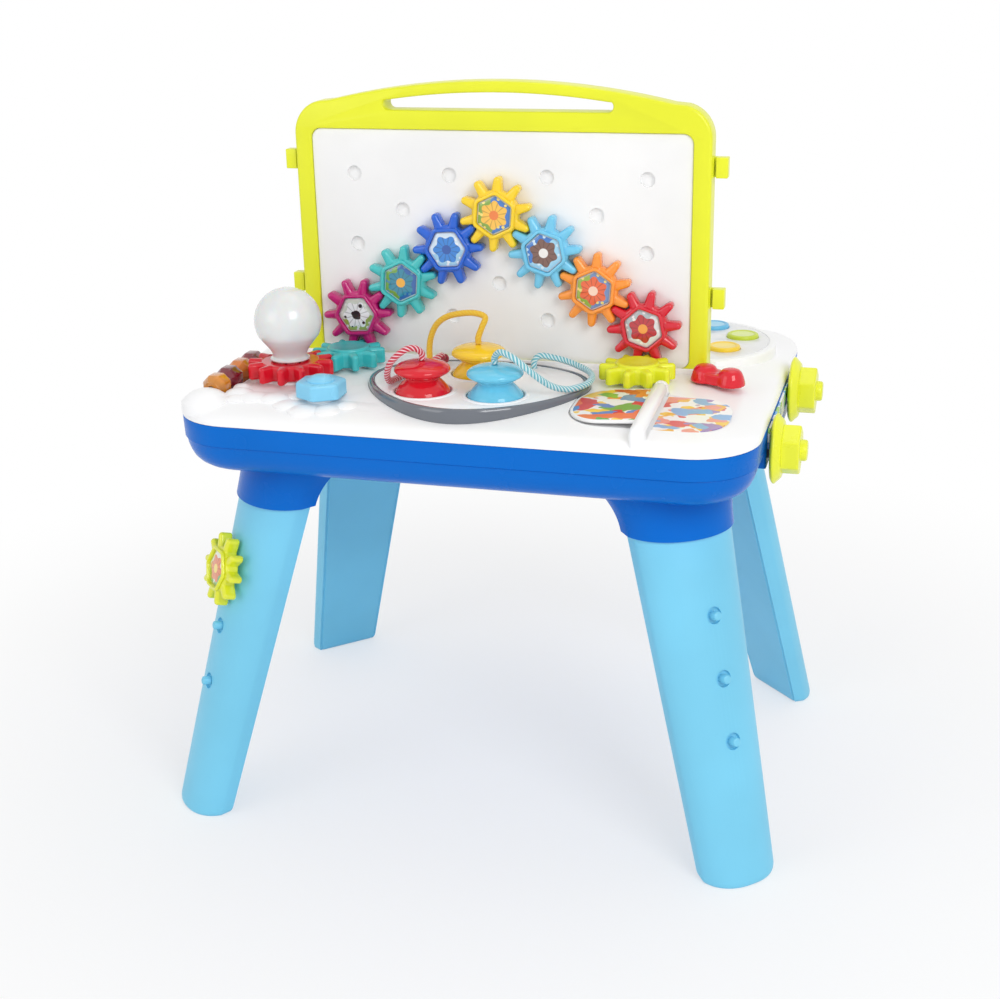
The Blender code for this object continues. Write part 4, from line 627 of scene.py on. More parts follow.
class Recipe:
    """A Geometry Nodes tree with named inputs for its sizes."""

    def __init__(self, name, sizes):
        self.tree = bpy.data.node_groups.new(name, "GeometryNodeTree")
        self.tree.interface.new_socket("Geometry", in_out="INPUT", socket_type="NodeSocketGeometry")
        self.tree.interface.new_socket("Geometry", in_out="OUTPUT",
                                       socket_type="NodeSocketGeometry")
        self.sizes = sizes
        self.keys = {}
        for label in sizes:
            socket = self.tree.interface.new_socket(label, in_out="INPUT",
                                                    socket_type="NodeSocketFloat")
            self.keys[label] = socket.identifier
        self.given = self.tree.nodes.new("NodeGroupInput").outputs

    def node(self, kind, settings=(), inputs=()):
        """Any node, from its type, its settings and the values or links of its sockets."""
        node = self.tree.nodes.new(kind)
        for key, value in dict(settings).items():
            setattr(node, key, value)
        for key, value in dict(inputs).items():
            if isinstance(value, bpy.types.NodeSocket):
                self.tree.links.new(value, node.inputs[key])
            else:
                node.inputs[key].default_value = value
        return node.outputs[0]

    def join(self, kind, sockets):
        """A node whose one input takes several links."""
        node = self.tree.nodes.new(kind)
        for socket in sockets:
            self.tree.links.new(socket, node.inputs[0])
        return node.outputs[0]

    def made(self, result, bm, finish):
        """End the tree, run it on a mesh, and return what comes out as a plain mesh."""
        real = self.node("GeometryNodeRealizeInstances", inputs={"Geometry": result})
        coated = self.node("GeometryNodeSetMaterial",
                           inputs={"Geometry": real, "Material": finish.material})
        self.tree.links.new(coated, self.tree.nodes.new("NodeGroupOutput").inputs[0])
        source = bpy.data.meshes.new(self.tree.name)
        bm.to_mesh(source)
        bm.free()
        maker = bpy.data.objects.new(self.tree.name, source)
        bpy.context.scene.collection.objects.link(maker)
        modifier = maker.modifiers.new("recipe", "NODES")
        modifier.node_group = self.tree
        for label, size in self.sizes.items():
            modifier[self.keys[label]] = size
        evaluated = maker.evaluated_get(bpy.context.evaluated_depsgraph_get())
        plain = bpy.data.meshes.new_from_object(evaluated)
        result = bmesh.new()
        result.from_mesh(plain)
        maker.modifiers.remove(modifier)
        bpy.data.objects.remove(maker)
        bpy.data.meshes.remove(plain)
        return result


screw_finish = Finish("screw_zinc", paint(190, 192, 196), 0.35, Metallic=1.0)
screw_finish.feed("Roughness", screw_finish.noise(700) * 0.2 + 0.25)
screw_finish.bump(screw_finish.noise(1500), 0.00003)
screws = Recipe("pan_head_screws", {"Head Radius": 3.2 * MM, "Head Height": 1.6 * MM,
                                    "Slot Width": 0.9 * MM, "Slot Length": 3.8 * MM})
sizes = screws.given
head = screws.node("GeometryNodeMeshCylinder",
                   inputs={"Vertices": 20, "Radius": sizes["Head Radius"],
                           "Depth": sizes["Head Height"]})
slot_sizes = [screws.node("ShaderNodeCombineXYZ",
                          inputs={0: sizes[first], 1: sizes[second], 2: sizes["Head Height"]})
              for first, second in (("Slot Length", "Slot Width"), ("Slot Width", "Slot Length"))]
slots = [screws.node("GeometryNodeMeshCube", inputs={"Size": size}) for size in slot_sizes]
cross = screws.join("GeometryNodeJoinGeometry", slots)
lowered = screws.node("GeometryNodeTransform",
                      inputs={"Geometry": cross, "Translation": (0, 0, -0.9 * MM)})
cut_head = screws.node("GeometryNodeMeshBoolean", {"operation": "DIFFERENCE"},
                       {0: head, 1: lowered})
screw_instances = screws.node("GeometryNodeInstanceOnPoints",
                              inputs={"Points": sizes["Geometry"], "Instance": cut_head})
screw_points = bmesh.new()
screw_places = [(x, y) for x in (-105, 105) for y in (-60, 60)] + [(x, -130) for x in (-60, 60)]
screw_places += [(x, 128) for x in (-60, 60)] + [(x, 57) for x in (-30, 30)]
for x, y in screw_places:
    screw_points.verts.new(middle + Vector((x * MM, y * MM, TRAY_BOTTOM - 0.2 * MM)))
finished("tray_screws", screws.made(screw_instances, screw_points, screw_finish), screw_finish,
         "base", slot="slate_plastic")


# Legs: four pale blue blow-moulded legs that push up into the collars. The two front ones carry
# three round stubs each, in ring-shaped hollows, for spare gears.
FOOT_ROUNDING = 6 * MM
PEG_TOP_Z = 204.5 * MM
LEG_FACE_SLOPE = atan((LEG_OUT[1] + LEG_FACE[1]) * MM / LEG_LENGTH)
GEAR_SPACING = 48.92 * MM
LEG_TOP = 292.7 * MM
LEG_CORNERS = {"front_left": (-1, -1), "front_right": (1, -1), "rear_left": (-1, 1),
               "rear_right": (1, 1)}
HOLLOW_PROFILE = [(0, -3.2), (6.2, -3.2), (6.6, -2.6), (6.7, 6), (0, 6)]
STUB_PROFILE = [(0, -8), (3.5, -8), (3.5, 3.6), (3.2, 4.4), (2.4, 4.9), (1.2, 5.0), (0, 5.0)]
leg_finish = moulded("leg_blue", paint(122, 208, 240), 0.42, 0.00003)


def in_mm(points):
    """Pairs of millimetres turned into metres."""
    return [(first * MM, second * MM) for first, second in points]


def shrunk(section, amount):
    """A section drawn in towards its middle."""
    centre = sum(section, Vector((0, 0))) / len(section)
    return [point + (centre - point).normalized() * amount for point in section]


def peg_frame(index, right, back):
    """The frame of one leg stub: its origin on the leg's face, its Z axis straight out."""
    height = PEG_TOP_Z - index * GEAR_SPACING * cos(LEG_FACE_SLOPE)
    share = 1 - height / LEG_LENGTH
    out = leg_measure(LEG_OUT, share) + leg_measure(LEG_FACE, share)
    side = leg_measure(LEG_SIDE, share)
    place = middle + Vector(((out + side) * right / sqrt(2), (out - side) * back / sqrt(2), height))
    level_out = Vector((right / sqrt(2), back / sqrt(2), 0))
    axis = level_out * cos(LEG_FACE_SLOPE) + Vector((0, 0, sin(LEG_FACE_SLOPE)))
    up = Vector((0, 0, 1)) * cos(LEG_FACE_SLOPE) - level_out * sin(LEG_FACE_SLOPE)
    turn = Matrix((up.cross(axis), up, axis)).transposed().to_4x4()
    return Matrix.Translation(place) @ turn


for name, (right, back) in LEG_CORNERS.items():
    rings = []
    for step in range(6):
        angle = radians(90 * step / 5)
        height = FOOT_ROUNDING * (1 - cos(angle))
        draw_in = FOOT_ROUNDING * (1 - sin(angle)) * 0.6
        rings.append(at_corner(shrunk(leg_section(height), draw_in), height, right, back))
    rings.append(at_corner(leg_section(LEG_TOP), LEG_TOP, right, back))
    leg = loft(rings)
    if back < 0:
        for index in range(3):
            spot = peg_frame(index, right, back)
            leg = carved(leg, lathe(in_mm(HOLLOW_PROFILE), 40, spot))
            leg = united(leg, lathe(in_mm(STUB_PROFILE), 32, spot))
    finished("leg_" + name + "_moulded", leg, leg_finish, "base", ["leg_" + name], "leg_blue")


# Top cover: one glossy white moulding whose edge curls down to the tray. It has beds for the
# plate, the book and the beads, a raised rail for the easel's foot, a round pad for the buttons,
# low seats under the gears, and soft cloud-like mounds round the toys at the left front.
DECK_TOP = 356 * MM
COVER_EDGE = 340.15 * MM
LIP_INSET = 3.4 * MM
CROWN_MARKS = [(0, 0), (0.4, 0.17), (2.5, 0.36), (8, 0.53), (20, 0.68), (45, 0.88), (75, 1)]
EASEL_HALF_WIDTH = 168.4 * MM
EASEL_FRONT = -14.6 * MM
EASEL_BACK = 7.4 * MM
RAIL_TOP = 360 * MM
SLOT_FLOOR = 349 * MM
TABLE_GEAR_X = 119.4 * MM
TABLE_GEAR_Y = -46.5 * MM
PEDESTAL_TOP = 358 * MM
BULB_PLACE = (-152.5 * MM, -88.9 * MM)
NUT_PLACE = (-110 * MM, -131 * MM)
BEAD_X = -200 * MM
BEAD_ROW = (-137 * MM, -47.2 * MM)
BEAD_RADIUS = 10.5 * MM
BEAD_AXLE_Z = 356.5 * MM
BOOK_X = 143 * MM
BOOK_FRONT = -150 * MM
BOOK_DEPTH = 74 * MM
BOOK_BED = 350.4 * MM
BOOK_TILT = radians(3.2)
PAGE_WIDTH = 59 * MM
PAGE_CORNER = 28 * MM
SPINE_RADIUS = 5.5 * MM
SPINE_OVERHANG = 14 * MM
SPINE_HEIGHT = SPINE_RADIUS + 0.4 * MM
PAD_PLACE = (141 * MM, 78 * MM)
PAD_RADIUS = 71.5 * MM
PAD_TOP = 359.5 * MM
BUTTON_PLACES = {"blue": (153.4 * MM, 125 * MM), "green": (182.4 * MM, 96 * MM),
                 "yellow": (172.5 * MM, 55 * MM)}
BUTTON_RADIUS = 13.2 * MM
PLATE_BED = 347.2 * MM
PLATE_HALF = (85.9 * MM, 70 * MM)
PLATE_MIDDLE_Y = -92 * MM
PLATE_SKEW = 0.248
PUFF_STEPS = 9
SKY = 500 * MM


def plate_outline(inset, steps=96):
    """An egg with a broad back, drawn in by an inset."""
    half_x, half_y = PLATE_HALF[0] - inset, PLATE_HALF[1] - inset
    outline = []
    for step in range(steps):
        angle = 2 * pi * step / steps
        outline.append((half_x * cos(angle) * (1 + PLATE_SKEW * sin(angle)),
                        PLATE_MIDDLE_Y + half_y * sin(angle)))
    return outline


crown_points = [Vector((inset * MM, COVER_EDGE + (DECK_TOP - COVER_EDGE) * share, 0))
                for inset, share in CROWN_MARKS]
crown_line = smooth_line(crown_points, 1.3 * MM)


def deck_height(x, y):
    """Height of the deck's surface over one spot."""
    here = min(TABLE_LENGTH / 2 - abs(x), TABLE_DEPTH / 2 - abs(y))
    below = [spot for spot in crown_line if spot.x <= here]
    return below[-1].y


def level_box(low, high, radius, bottom, top, edge):
    """A box with round upright corners and a rounded upper edge."""
    rings = [(0, bottom), (0, top - edge)]
    rings += [(edge * (1 - cos(radians(turn))), top - edge * (1 - sin(radians(turn))))
              for turn in (30, 60, 90)]
    lofted = []
    for inset, height in rings:
        outline = box_outline((low[0] + inset, low[1] + inset), (high[0] - inset, high[1] - inset),
                              radius - inset)
        lofted.append(raised_to(height, outline))
    return loft(lofted)


def puff(x, y, radius, rise, depth=8 * MM):
    """A soft round mound on the deck."""
    height = deck_height(x, y)
    profile = [(0, -depth), (radius, -depth)]
    for step in range(PUFF_STEPS + 1):
        share = 1 - step / PUFF_STEPS
        profile.append((radius * share, rise * (1 - share ** 2.4)))
    return lathe(profile, 40, shifted(x, y, height))


def disc(profile, x, y, steps=48):
    """A profile of (radius, height) turned about an upright axis, from and to that axis."""
    return lathe(profile, steps, shifted(x, y))


def tub(radius, bottom, top, x, y, edge=0.5 * MM, steps=48):
    """A round well with a softened mouth at the given height, as a cutter."""
    mouth = [(radius, top - edge), (radius + edge * 0.3, top - edge * 0.3), (radius + edge, top)]
    return disc([(0, bottom), (radius, bottom), *mouth, (radius + edge, SKY), (0, SKY)], x, y,
                steps)


WHITE = paint(249, 249, 250)
white_finish = moulded("cover_white", WHITE, 0.3)
pad_x, pad_y, pad_z = white_finish.split(white_finish.place(middle + Vector((*PAD_PLACE, 0))))
from_pad = (pad_x * pad_x + pad_y * pad_y).math("SQRT")
on_pad = (from_pad < PAD_RADIUS - 5.8 * MM) * (pad_z > PAD_TOP - 2 * MM)
white_finish.feed("Base Color", white_finish.mix(on_pad, WHITE, paint(236, 236, 238)))
lip = [(LIP_INSET, COVER_LINE - 7 * MM), (LIP_INSET, COVER_EDGE)]
crown_rings = [(spot.x, spot.y) for spot in crown_line]
cover = loft([table_ring(inset, height, 12) for inset, height in lip + crown_rings])
rail = level_box((-EASEL_HALF_WIDTH - 4.3 * MM, EASEL_FRONT - 1.8 * MM),
                 (EASEL_HALF_WIDTH + 4.3 * MM, EASEL_BACK + 4.3 * MM), 3 * MM, SLOT_FLOOR + MM,
                 RAIL_TOP, 1.0 * MM)
PAD_EDGE = [(0, -2), (-0.3, -1), (-1.2, -0.2), (-2.4, 0), (-5.2, 0), (-5.5, -0.9), (-6.3, -0.9),
            (-6.6, 0)]
pad = disc([(0, DECK_TOP - 9 * MM), (PAD_RADIUS, DECK_TOP - 9 * MM),
            *near(PAD_RADIUS, PAD_TOP, PAD_EDGE), (0, PAD_TOP)], *PAD_PLACE, 96)
rail_room = level_box((-EASEL_HALF_WIDTH - 5 * MM, EASEL_FRONT - 2 * MM),
                      (EASEL_HALF_WIDTH + 5 * MM, EASEL_BACK + 5.3 * MM), 3 * MM, COVER_LINE, SKY,
                      0.5 * MM)
pad = carved(pad, rail_room)
raised = [rail, pad]
for x, y, radius in ((-TABLE_GEAR_X, TABLE_GEAR_Y, 14 * MM), (TABLE_GEAR_X, TABLE_GEAR_Y, 14 * MM),
                     (*BULB_PLACE, 21.2 * MM)):
    pedestal_edge = near(radius, PEDESTAL_TOP, [(0, -0.6), (-0.6, 0)])
    raised.append(disc([(0, DECK_TOP - 2 * MM), (radius, DECK_TOP - 2 * MM), *pedestal_edge,
                        (0, PEDESTAL_TOP)], x, y))
nut_seat = deck_height(NUT_PLACE[0], NUT_PLACE[1] + 20 * MM) + FIT
raised.append(disc(rod(12 * MM, nut_seat - 3 * MM, nut_seat), *NUT_PLACE))
MOUNDS = [(-199, -149, 19, 9.2), (-200, -38.5, 13, 6.4), (-179, -131, 12, 3.2),
          (-164, -137, 12.5, 2.8), (-147, -137, 12, 3.0), (-132, -147, 11.5, 2.7),
          (-116, -154, 12.5, 2.6), (-97, -152, 11, 2.6), (-85, -141, 9, 2.0), (-184, -116, 9, 2.4),
          (-128, -128, 10, 2.2), (-176, -142, 10, 2.4)]
for x, y, radius, rise in MOUNDS:
    raised.append(puff(x * MM, y * MM, radius * MM, rise * MM))
cover = united(cover, *raised)

book_frame = (Matrix.Translation(middle + Vector((BOOK_X, BOOK_FRONT, BOOK_BED)))
              @ Matrix.Rotation(BOOK_TILT, 4, "X"))
bed_outline = rounded_rectangle(PAGE_WIDTH + 0.8 * MM, BOOK_DEPTH / 2, PAGE_CORNER, 16)
bed_outline = [(x, BOOK_DEPTH / 2 + y) for x, y in bed_outline]
trough_outline = box_outline((-SPINE_RADIUS - MM, -SPINE_OVERHANG - 8 * MM),
                             (SPINE_RADIUS + MM, BOOK_DEPTH + 8 * MM), 3 * MM)
book_bed, trough = [loft([[book_frame @ Vector((x, y, height)) for x, y in outline]
                          for height in (bottom, 30 * MM)])
                    for outline, bottom in ((bed_outline, 0), (trough_outline, -FIT))]
well_half = BEAD_RADIUS + 1 * MM
well_outline = box_outline((BEAD_X - well_half, BEAD_ROW[0] - MM),
                           (BEAD_X + well_half, BEAD_ROW[1] + MM), 2 * MM)
slot_outline = box_outline((-EASEL_HALF_WIDTH - FIT, EASEL_FRONT - FIT),
                           (EASEL_HALF_WIDTH + FIT, EASEL_BACK + FIT), 0.6 * MM)
cutters = [prism(plate_outline(-FIT), PLATE_BED, SKY), prism(slot_outline, SLOT_FLOOR, SKY),
           prism(well_outline, BEAD_AXLE_Z - BEAD_RADIUS - 1.5 * MM, SKY), book_bed, trough]
TONGUE_X = 158 * MM
tongue_y = (EASEL_FRONT + EASEL_BACK) / 2
for side in (-1, 1):
    tongue_outline = centred_box(side * TONGUE_X, tongue_y, 8.3 * MM, 6.8 * MM, 1 * MM)
    cutters.append(prism(tongue_outline, COVER_LINE - 20 * MM, SLOT_FLOOR + MM))
for x, y in BUTTON_PLACES.values():
    cutters.append(tub(BUTTON_RADIUS + 0.4 * MM, PAD_TOP - 6.9 * MM, PAD_TOP, x, y))
for place in KNOB_PLACES.values():
    cutters.append(along_x(hub_bore, place))
cover = carved(cover, *cutters)

post_section = [(-SPINE_RADIUS, -5 * MM), (SPINE_RADIUS, -5 * MM), (SPINE_RADIUS, SPINE_HEIGHT)]
post_section += [(SPINE_RADIUS * cos(radians(turn)),
                  SPINE_HEIGHT + SPINE_RADIUS * sin(radians(turn)))
                 for turn in range(15, 180, 15)] + [(-SPINE_RADIUS, SPINE_HEIGHT)]
POST_THICKNESS = 4 * MM
for start, nose in ((-SPINE_OVERHANG - 4.4 * MM, -1), (BOOK_DEPTH + 0.4 * MM, 1)):
    end = start + POST_THICKNESS
    rings = []
    for share in (0, 0.5, 1):
        rings.append([book_frame @ Vector((x, start + (end - start) * share, z))
                      for x, z in post_section])
    post = loft(rings)
    outer = start if nose < 0 else end
    rings = []
    for turn in (0, 30, 60, 80):
        size = cos(radians(turn))
        depth = outer + nose * 7 * MM * sin(radians(turn))
        rings.append([book_frame @ Vector((x * (0.45 + 0.55 * size), depth,
                                           -5 * MM + (z + 5 * MM) * (0.35 + 0.65 * size)))
                      for x, z in post_section])
    cover = united(cover, post, loft(rings))
finished("cover_deck", cover, white_finish, "base", ["top_cover"], "white_plastic", 32)


# Easel: a lime green moulded frame that lifts out of the rail, with a carrying slot under its
# shallow arch and two grooved hooks on each side. Its edges are rounded all round.
EASEL_BOTTOM = 349.3 * MM
EASEL_TOP = 579.5 * MM
ARCH_RADIUS = 620.5 * MM
SHOULDER_RADIUS = 26 * MM
POST_WIDTH = 13.9 * MM
BOTTOM_BAR = 9.5 * MM
WINDOW_TOP = 542 * MM
SLOT_TOP = 571 * MM
SLOT_BOTTOM = 556.8 * MM
SLOT_HALF = 92.5 * MM
SLOT_END = 4.5 * MM
EDGE = 2.5 * MM


def arch_height(x, apex):
    """Height of the easel's arch, or of a line under it, at one x."""
    return apex - ARCH_RADIUS + sqrt(ARCH_RADIUS ** 2 - x ** 2)


def easel_outline(inset):
    """The frame's outside, drawn in by an inset: straight posts, round shoulders and an arch."""
    half, top, shoulder = EASEL_HALF_WIDTH - inset, EASEL_TOP - inset, SHOULDER_RADIUS - inset
    centre_x = half - shoulder
    start = asin(centre_x / ARCH_RADIUS)
    centre_z = arch_height(centre_x, top) - shoulder * cos(start)
    right = []
    for step in range(15):
        turn = (pi / 2 - start) * step / 14
        right.append((centre_x + shoulder * cos(turn), centre_z + shoulder * sin(turn)))
    reach = right[-1][0]
    arch = [(reach - 2 * reach * step / 30, arch_height(reach - 2 * reach * step / 30, top))
            for step in range(1, 30)]
    left = [(-x, z) for x, z in reversed(right)]
    return [(-half, EASEL_BOTTOM), (half, EASEL_BOTTOM)] + right + arch + left


def window_outline(grow, corner=8 * MM):
    """The opening for the boards, grown by a margin."""
    half = EASEL_HALF_WIDTH - POST_WIDTH + grow
    low, high = EASEL_BOTTOM + BOTTOM_BAR - grow, WINDOW_TOP + grow
    return box_outline((-half, low), (half, high), corner + grow, 8)


def slot_hole(grow):
    """The carrying slot under the arch, grown by a margin."""
    end = SLOT_END + grow
    centre_x = SLOT_HALF - SLOT_END
    right = [(centre_x + end * cos(radians(turn)),
              SLOT_BOTTOM + SLOT_END + end * sin(radians(turn))) for turn in range(-90, 60, 15)]
    top = []
    for step in range(25):
        x = centre_x - 2 * centre_x * step / 24
        top.append((x, arch_height(x, SLOT_TOP) + grow))
    return right + top + [(-x, z) for x, z in reversed(right)]


def upright(levels):
    """Outlines of (x, z) points, each at its own depth, made solid from front to back."""
    return loft([[middle + Vector((x, y, z)) for x, z in outline] for outline, y in levels])


def edged(outline, front, back, edge):
    """Levels of an outline with rounded front and back edges; a hole's mouth widens."""
    levels = []
    for turn in (0, 30, 60, 90):
        inset = edge * (1 - sin(radians(turn)))
        levels.append((outline(inset), front + edge * (1 - cos(radians(turn)))))
    return levels + [(shape, front + back - y) for shape, y in reversed(levels)]


LIME = paint(236, 240, 46)
lime_finish = moulded("easel_lime", LIME, 0.3, Specular_IOR_Level=0.4)
easel = upright(edged(easel_outline, EASEL_FRONT, EASEL_BACK, EDGE))
for hole, edge in ((window_outline, 1.0 * MM), (slot_hole, 1.6 * MM)):
    mouth = edged(hole, EASEL_FRONT, EASEL_BACK, edge)
    ends = [(mouth[0][0], EASEL_FRONT - 2 * MM)] + mouth + [(mouth[-1][0], EASEL_BACK + 2 * MM)]
    easel = carved(easel, upright(ends))
HOOK_Z = (516.3 * MM, 415 * MM)
HOOK_REACH = 11.5 * MM
HOOK_ROOT = 3 * MM
HOOK_HALF_HEIGHT = 7.75 * MM
HOOK_HALF_DEPTH = 5 * MM
for side in (-1, 1):
    tongue = prism(centred_box(side * TONGUE_X, tongue_y, 8 * MM, 6.5 * MM, 1 * MM),
                   EASEL_BOTTOM - 27 * MM, EASEL_BOTTOM + 2 * MM)
    easel = united(easel, rounded(tongue, 0.6 * MM, 2))
    for height in HOOK_Z:
        hook_x = side * (EASEL_HALF_WIDTH + (HOOK_REACH - HOOK_ROOT) / 2)
        hook = prism(centred_box(hook_x, tongue_y, (HOOK_REACH + HOOK_ROOT) / 2, HOOK_HALF_DEPTH,
                                 0.9 * MM), height - HOOK_HALF_HEIGHT, height + HOOK_HALF_HEIGHT)
        groove_x = side * (EASEL_HALF_WIDTH + 1.6 * MM)
        groove = prism(centred_box(groove_x, tongue_y - 4 * MM, 1 * MM, 5 * MM, 0.3 * MM),
                       height - 12 * MM, height + 12 * MM)
        easel = united(easel, carved(rounded(hook, 0.7 * MM, 3, 60), groove))
finished("easel_frame_moulded", easel, lime_finish, "easel", ["easel_frame"], "lime_plastic")


# Boards: two thin white panels held in the frame, satin-smooth. The front one has sixteen round
# sockets in staggered rows, into which the gears are plugged.
BOARD_FRONT = -12.6 * MM
BOARD_THICKNESS = 7 * MM
SOCKET_COLUMN = 39.8 * MM
SOCKET_ROW = 28.445 * MM
LOWEST_ROW = 393.11 * MM
board_finish = moulded("board_white", paint(247, 247, 247), 0.42, 0.00004)


def panel(front, back):
    """A board that fills the frame's opening, between two depths."""
    return upright(edged(lambda inset: window_outline(-FIT - inset), front, back, 0.5 * MM))


dimples = Recipe("board_sockets",
                 {"Socket Radius": 6.0 * MM, "Socket Depth": 3.8 * MM, "Column": SOCKET_COLUMN,
                  "Row": SOCKET_ROW, "Middle Height": LOWEST_ROW + 2 * SOCKET_ROW,
                  "Board Front": middle.y + BOARD_FRONT, "Board Middle": middle.x})
sizes = dimples.given
grids = []
for columns, rows in ((4, 3), (3, 2)):
    spans = [dimples.node("ShaderNodeMath", {"operation": "MULTIPLY"},
                          {0: sizes[label], 1: float(2 * (count - 1))})
             for label, count in (("Column", columns), ("Row", rows))]
    grids.append(dimples.node("GeometryNodeMeshGrid",
                              inputs={"Size X": spans[0], "Size Y": spans[1], "Vertices X": columns,
                                      "Vertices Y": rows}))
grid_place = dimples.node("ShaderNodeCombineXYZ",
                          inputs={0: sizes["Board Middle"], 1: sizes["Board Front"],
                                  2: sizes["Middle Height"]})
grid = dimples.node("GeometryNodeTransform",
                    inputs={"Geometry": dimples.join("GeometryNodeJoinGeometry", grids),
                            "Translation": grid_place, "Rotation": (pi / 2, 0, 0)})
cutter_depth = dimples.node("ShaderNodeMath", {"operation": "MULTIPLY"},
                            {0: sizes["Socket Depth"], 1: 2.0})
cutter = dimples.node("GeometryNodeMeshCylinder",
                      inputs={"Vertices": 40, "Radius": sizes["Socket Radius"],
                              "Depth": cutter_depth})
placed = dimples.node("GeometryNodeInstanceOnPoints", inputs={"Points": grid, "Instance": cutter,
                                                              "Rotation": (pi / 2, 0, 0)})
real_cutters = dimples.node("GeometryNodeRealizeInstances", inputs={"Geometry": placed})
drilled = dimples.node("GeometryNodeMeshBoolean", {"operation": "DIFFERENCE"},
                       {0: sizes["Geometry"], 1: real_cutters})
front_board = dimples.made(drilled, panel(BOARD_FRONT, BOARD_FRONT + BOARD_THICKNESS), board_finish)
finished("board_front_panel", front_board, board_finish, "easel", ["board_front"], "white_plastic")
finished("board_back_panel", panel(3.2 * MM, 5.4 * MM), board_finish, "easel", ["board_back"],
         "white_plastic")


# Easel gears: eight glossy ten-toothed gears, seven plugged into the board and one on the left
# leg. Each has finger teeth like round-ended bars and a raised hexagonal frame round a clear,
# slightly domed lens, under which lies a card printed with a plain flower.
GEAR_TEETH = 10
PITCH_RADIUS = 24.46 * MM
TOOTH_REACH = 5.2 * MM
TOOTH_ROOT = 5.9 * MM
TOOTH_FOOT = 7.6 * MM
TOOTH_TIP = 6 * MM
GEAR_THICKNESS = 11 * MM
FRAME_RADIUS = 19.4 * MM
FRAME_TOP = 13.6 * MM
WINDOW_RADIUS = 16.4 * MM
WINDOW_FLOOR = 8.1 * MM
TOOTH_ROUNDING = 2.7 * MM
TOOTH_FOOT_ROUNDING = 1.7 * MM
GEAR_STANDOFF = 0.8 * MM
FIRST_PHASE = 3.9


def gear_outline(teeth, inset):
    """Finger teeth with round tips, small fillets at their feet, and all drawn in by an inset."""
    pitch = PITCH_RADIUS * teeth / GEAR_TEETH
    root, tip = pitch - TOOTH_ROOT - inset, pitch + TOOTH_REACH - inset
    cap, foot = TOOTH_TIP / 2 - inset, TOOTH_FOOT / 2 - inset
    half = [(root, foot + 0.9 * MM), (root + 0.3 * MM, foot + 0.3 * MM),
            (root + 0.9 * MM, foot - 0.02 * MM)]
    tooth = [(out, -across) for out, across in half]
    for turn in range(-90, 91, 18):
        tooth.append((tip - cap + cap * cos(radians(turn)), cap * sin(radians(turn))))
    tooth += [(out, across) for out, across in reversed(half)]
    outline = []
    for number in range(teeth):
        turn = 2 * pi * number / teeth
        for out, across in tooth:
            outline.append((out * cos(turn) - across * sin(turn),
                            out * sin(turn) + across * cos(turn)))
    return outline


def gear_blank(teeth, thickness):
    """The toothed body, with every upper edge rounded like a bar's and the lower ones softened."""
    levels = []
    for turn in (90, 60, 30, 0):
        levels.append((TOOTH_FOOT_ROUNDING * (1 - cos(radians(turn))),
                       TOOTH_FOOT_ROUNDING * (1 - sin(radians(turn)))))
    for turn in (0, 18, 36, 54, 72, 90):
        levels.append((TOOTH_ROUNDING * (1 - cos(radians(turn))),
                       thickness - TOOTH_ROUNDING * (1 - sin(radians(turn)))))
    return loft([[(x, y, height) for x, y in gear_outline(teeth, inset)]
                 for inset, height in levels])


def hexagon(radius, height, roundness=0.0, corner=0.965, steps=72, turn=0.0):
    """A hexagon with rounded corners, or partly or wholly a circle, at one height."""
    ring = []
    for step in range(steps):
        angle = 2 * pi * step / steps
        side = (angle % (pi / 3)) - pi / 6
        reach = min(radius * cos(pi / 6) / cos(side), radius * corner)
        reach += (radius * cos(pi / 6) - reach) * roundness
        ring.append((reach * cos(angle + turn), reach * sin(angle + turn), height))
    return ring


def windowed_gear():
    """A gear with its window frame in front and its hollow spigot behind."""
    outer = near(FRAME_RADIUS, 0, [(-2.4, 6)])
    outer += near(FRAME_RADIUS, GEAR_THICKNESS, [(-1.4, -0.6), (0, 0.4)])
    outer += near(FRAME_RADIUS, FRAME_TOP, [(0, -1.1), (-0.3, -0.45), (-0.8, -0.1), (-1.4, 0)])
    inner = [(WINDOW_RADIUS, WINDOW_FLOOR)]
    inner += near(WINDOW_RADIUS, FRAME_TOP, [(0, -0.9), (0.3, -0.3), (1, 0), (1, 3)])
    gear = united(gear_blank(GEAR_TEETH, GEAR_THICKNESS), loft([hexagon(*spot) for spot in outer]),
                  lathe(in_mm([(0, -3.5), (4.9, -3.5), (5.2, -3.1), (5.2, 1), (0, 1)]), 32))
    return carved(gear, loft([hexagon(*spot) for spot in inner]),
                  lathe(rod(3.9 * MM, -5 * MM, 6 * MM), 32))


PATCH_EDGE = (0.57, 0.585)
CARD_PETALS = 6
CARD_EDGE = (0.0127, 0.0130)
HORIZON = (-0.0022, -0.0016)
HORIZON_WAVES = 420.0
HORIZON_RISE = 0.0016
GROUND_DOTS = 210
PETAL_DOTS = 190
SCALLOP_DEPTH = 0.0013
FLOWER_EDGE = (0.0100, 0.0104)
HEART_EDGE = (0.0036, 0.0039)


def patches(finish, spot, ground, colours, scale, detail=0.6):
    """Loose patches of flat printed colour over a ground."""
    colour = ground
    for index, patch in enumerate(colours):
        moved = finish.node("VectorMath", {"operation": "ADD"},
                            {0: spot, 1: (0.37 * index, 0.19 * index + 0.5, 0.1)})
        colour = finish.mix(finish.noise(scale, detail, moved).soft_step(*PATCH_EDGE), colour,
                            patch)
    return colour


def card_dots(finish, spot, scale):
    """Distance from the middle of the nearest of many scattered dots."""
    return finish.node("TexVoronoi", inputs={"Vector": spot, "Scale": scale}, output="Distance")


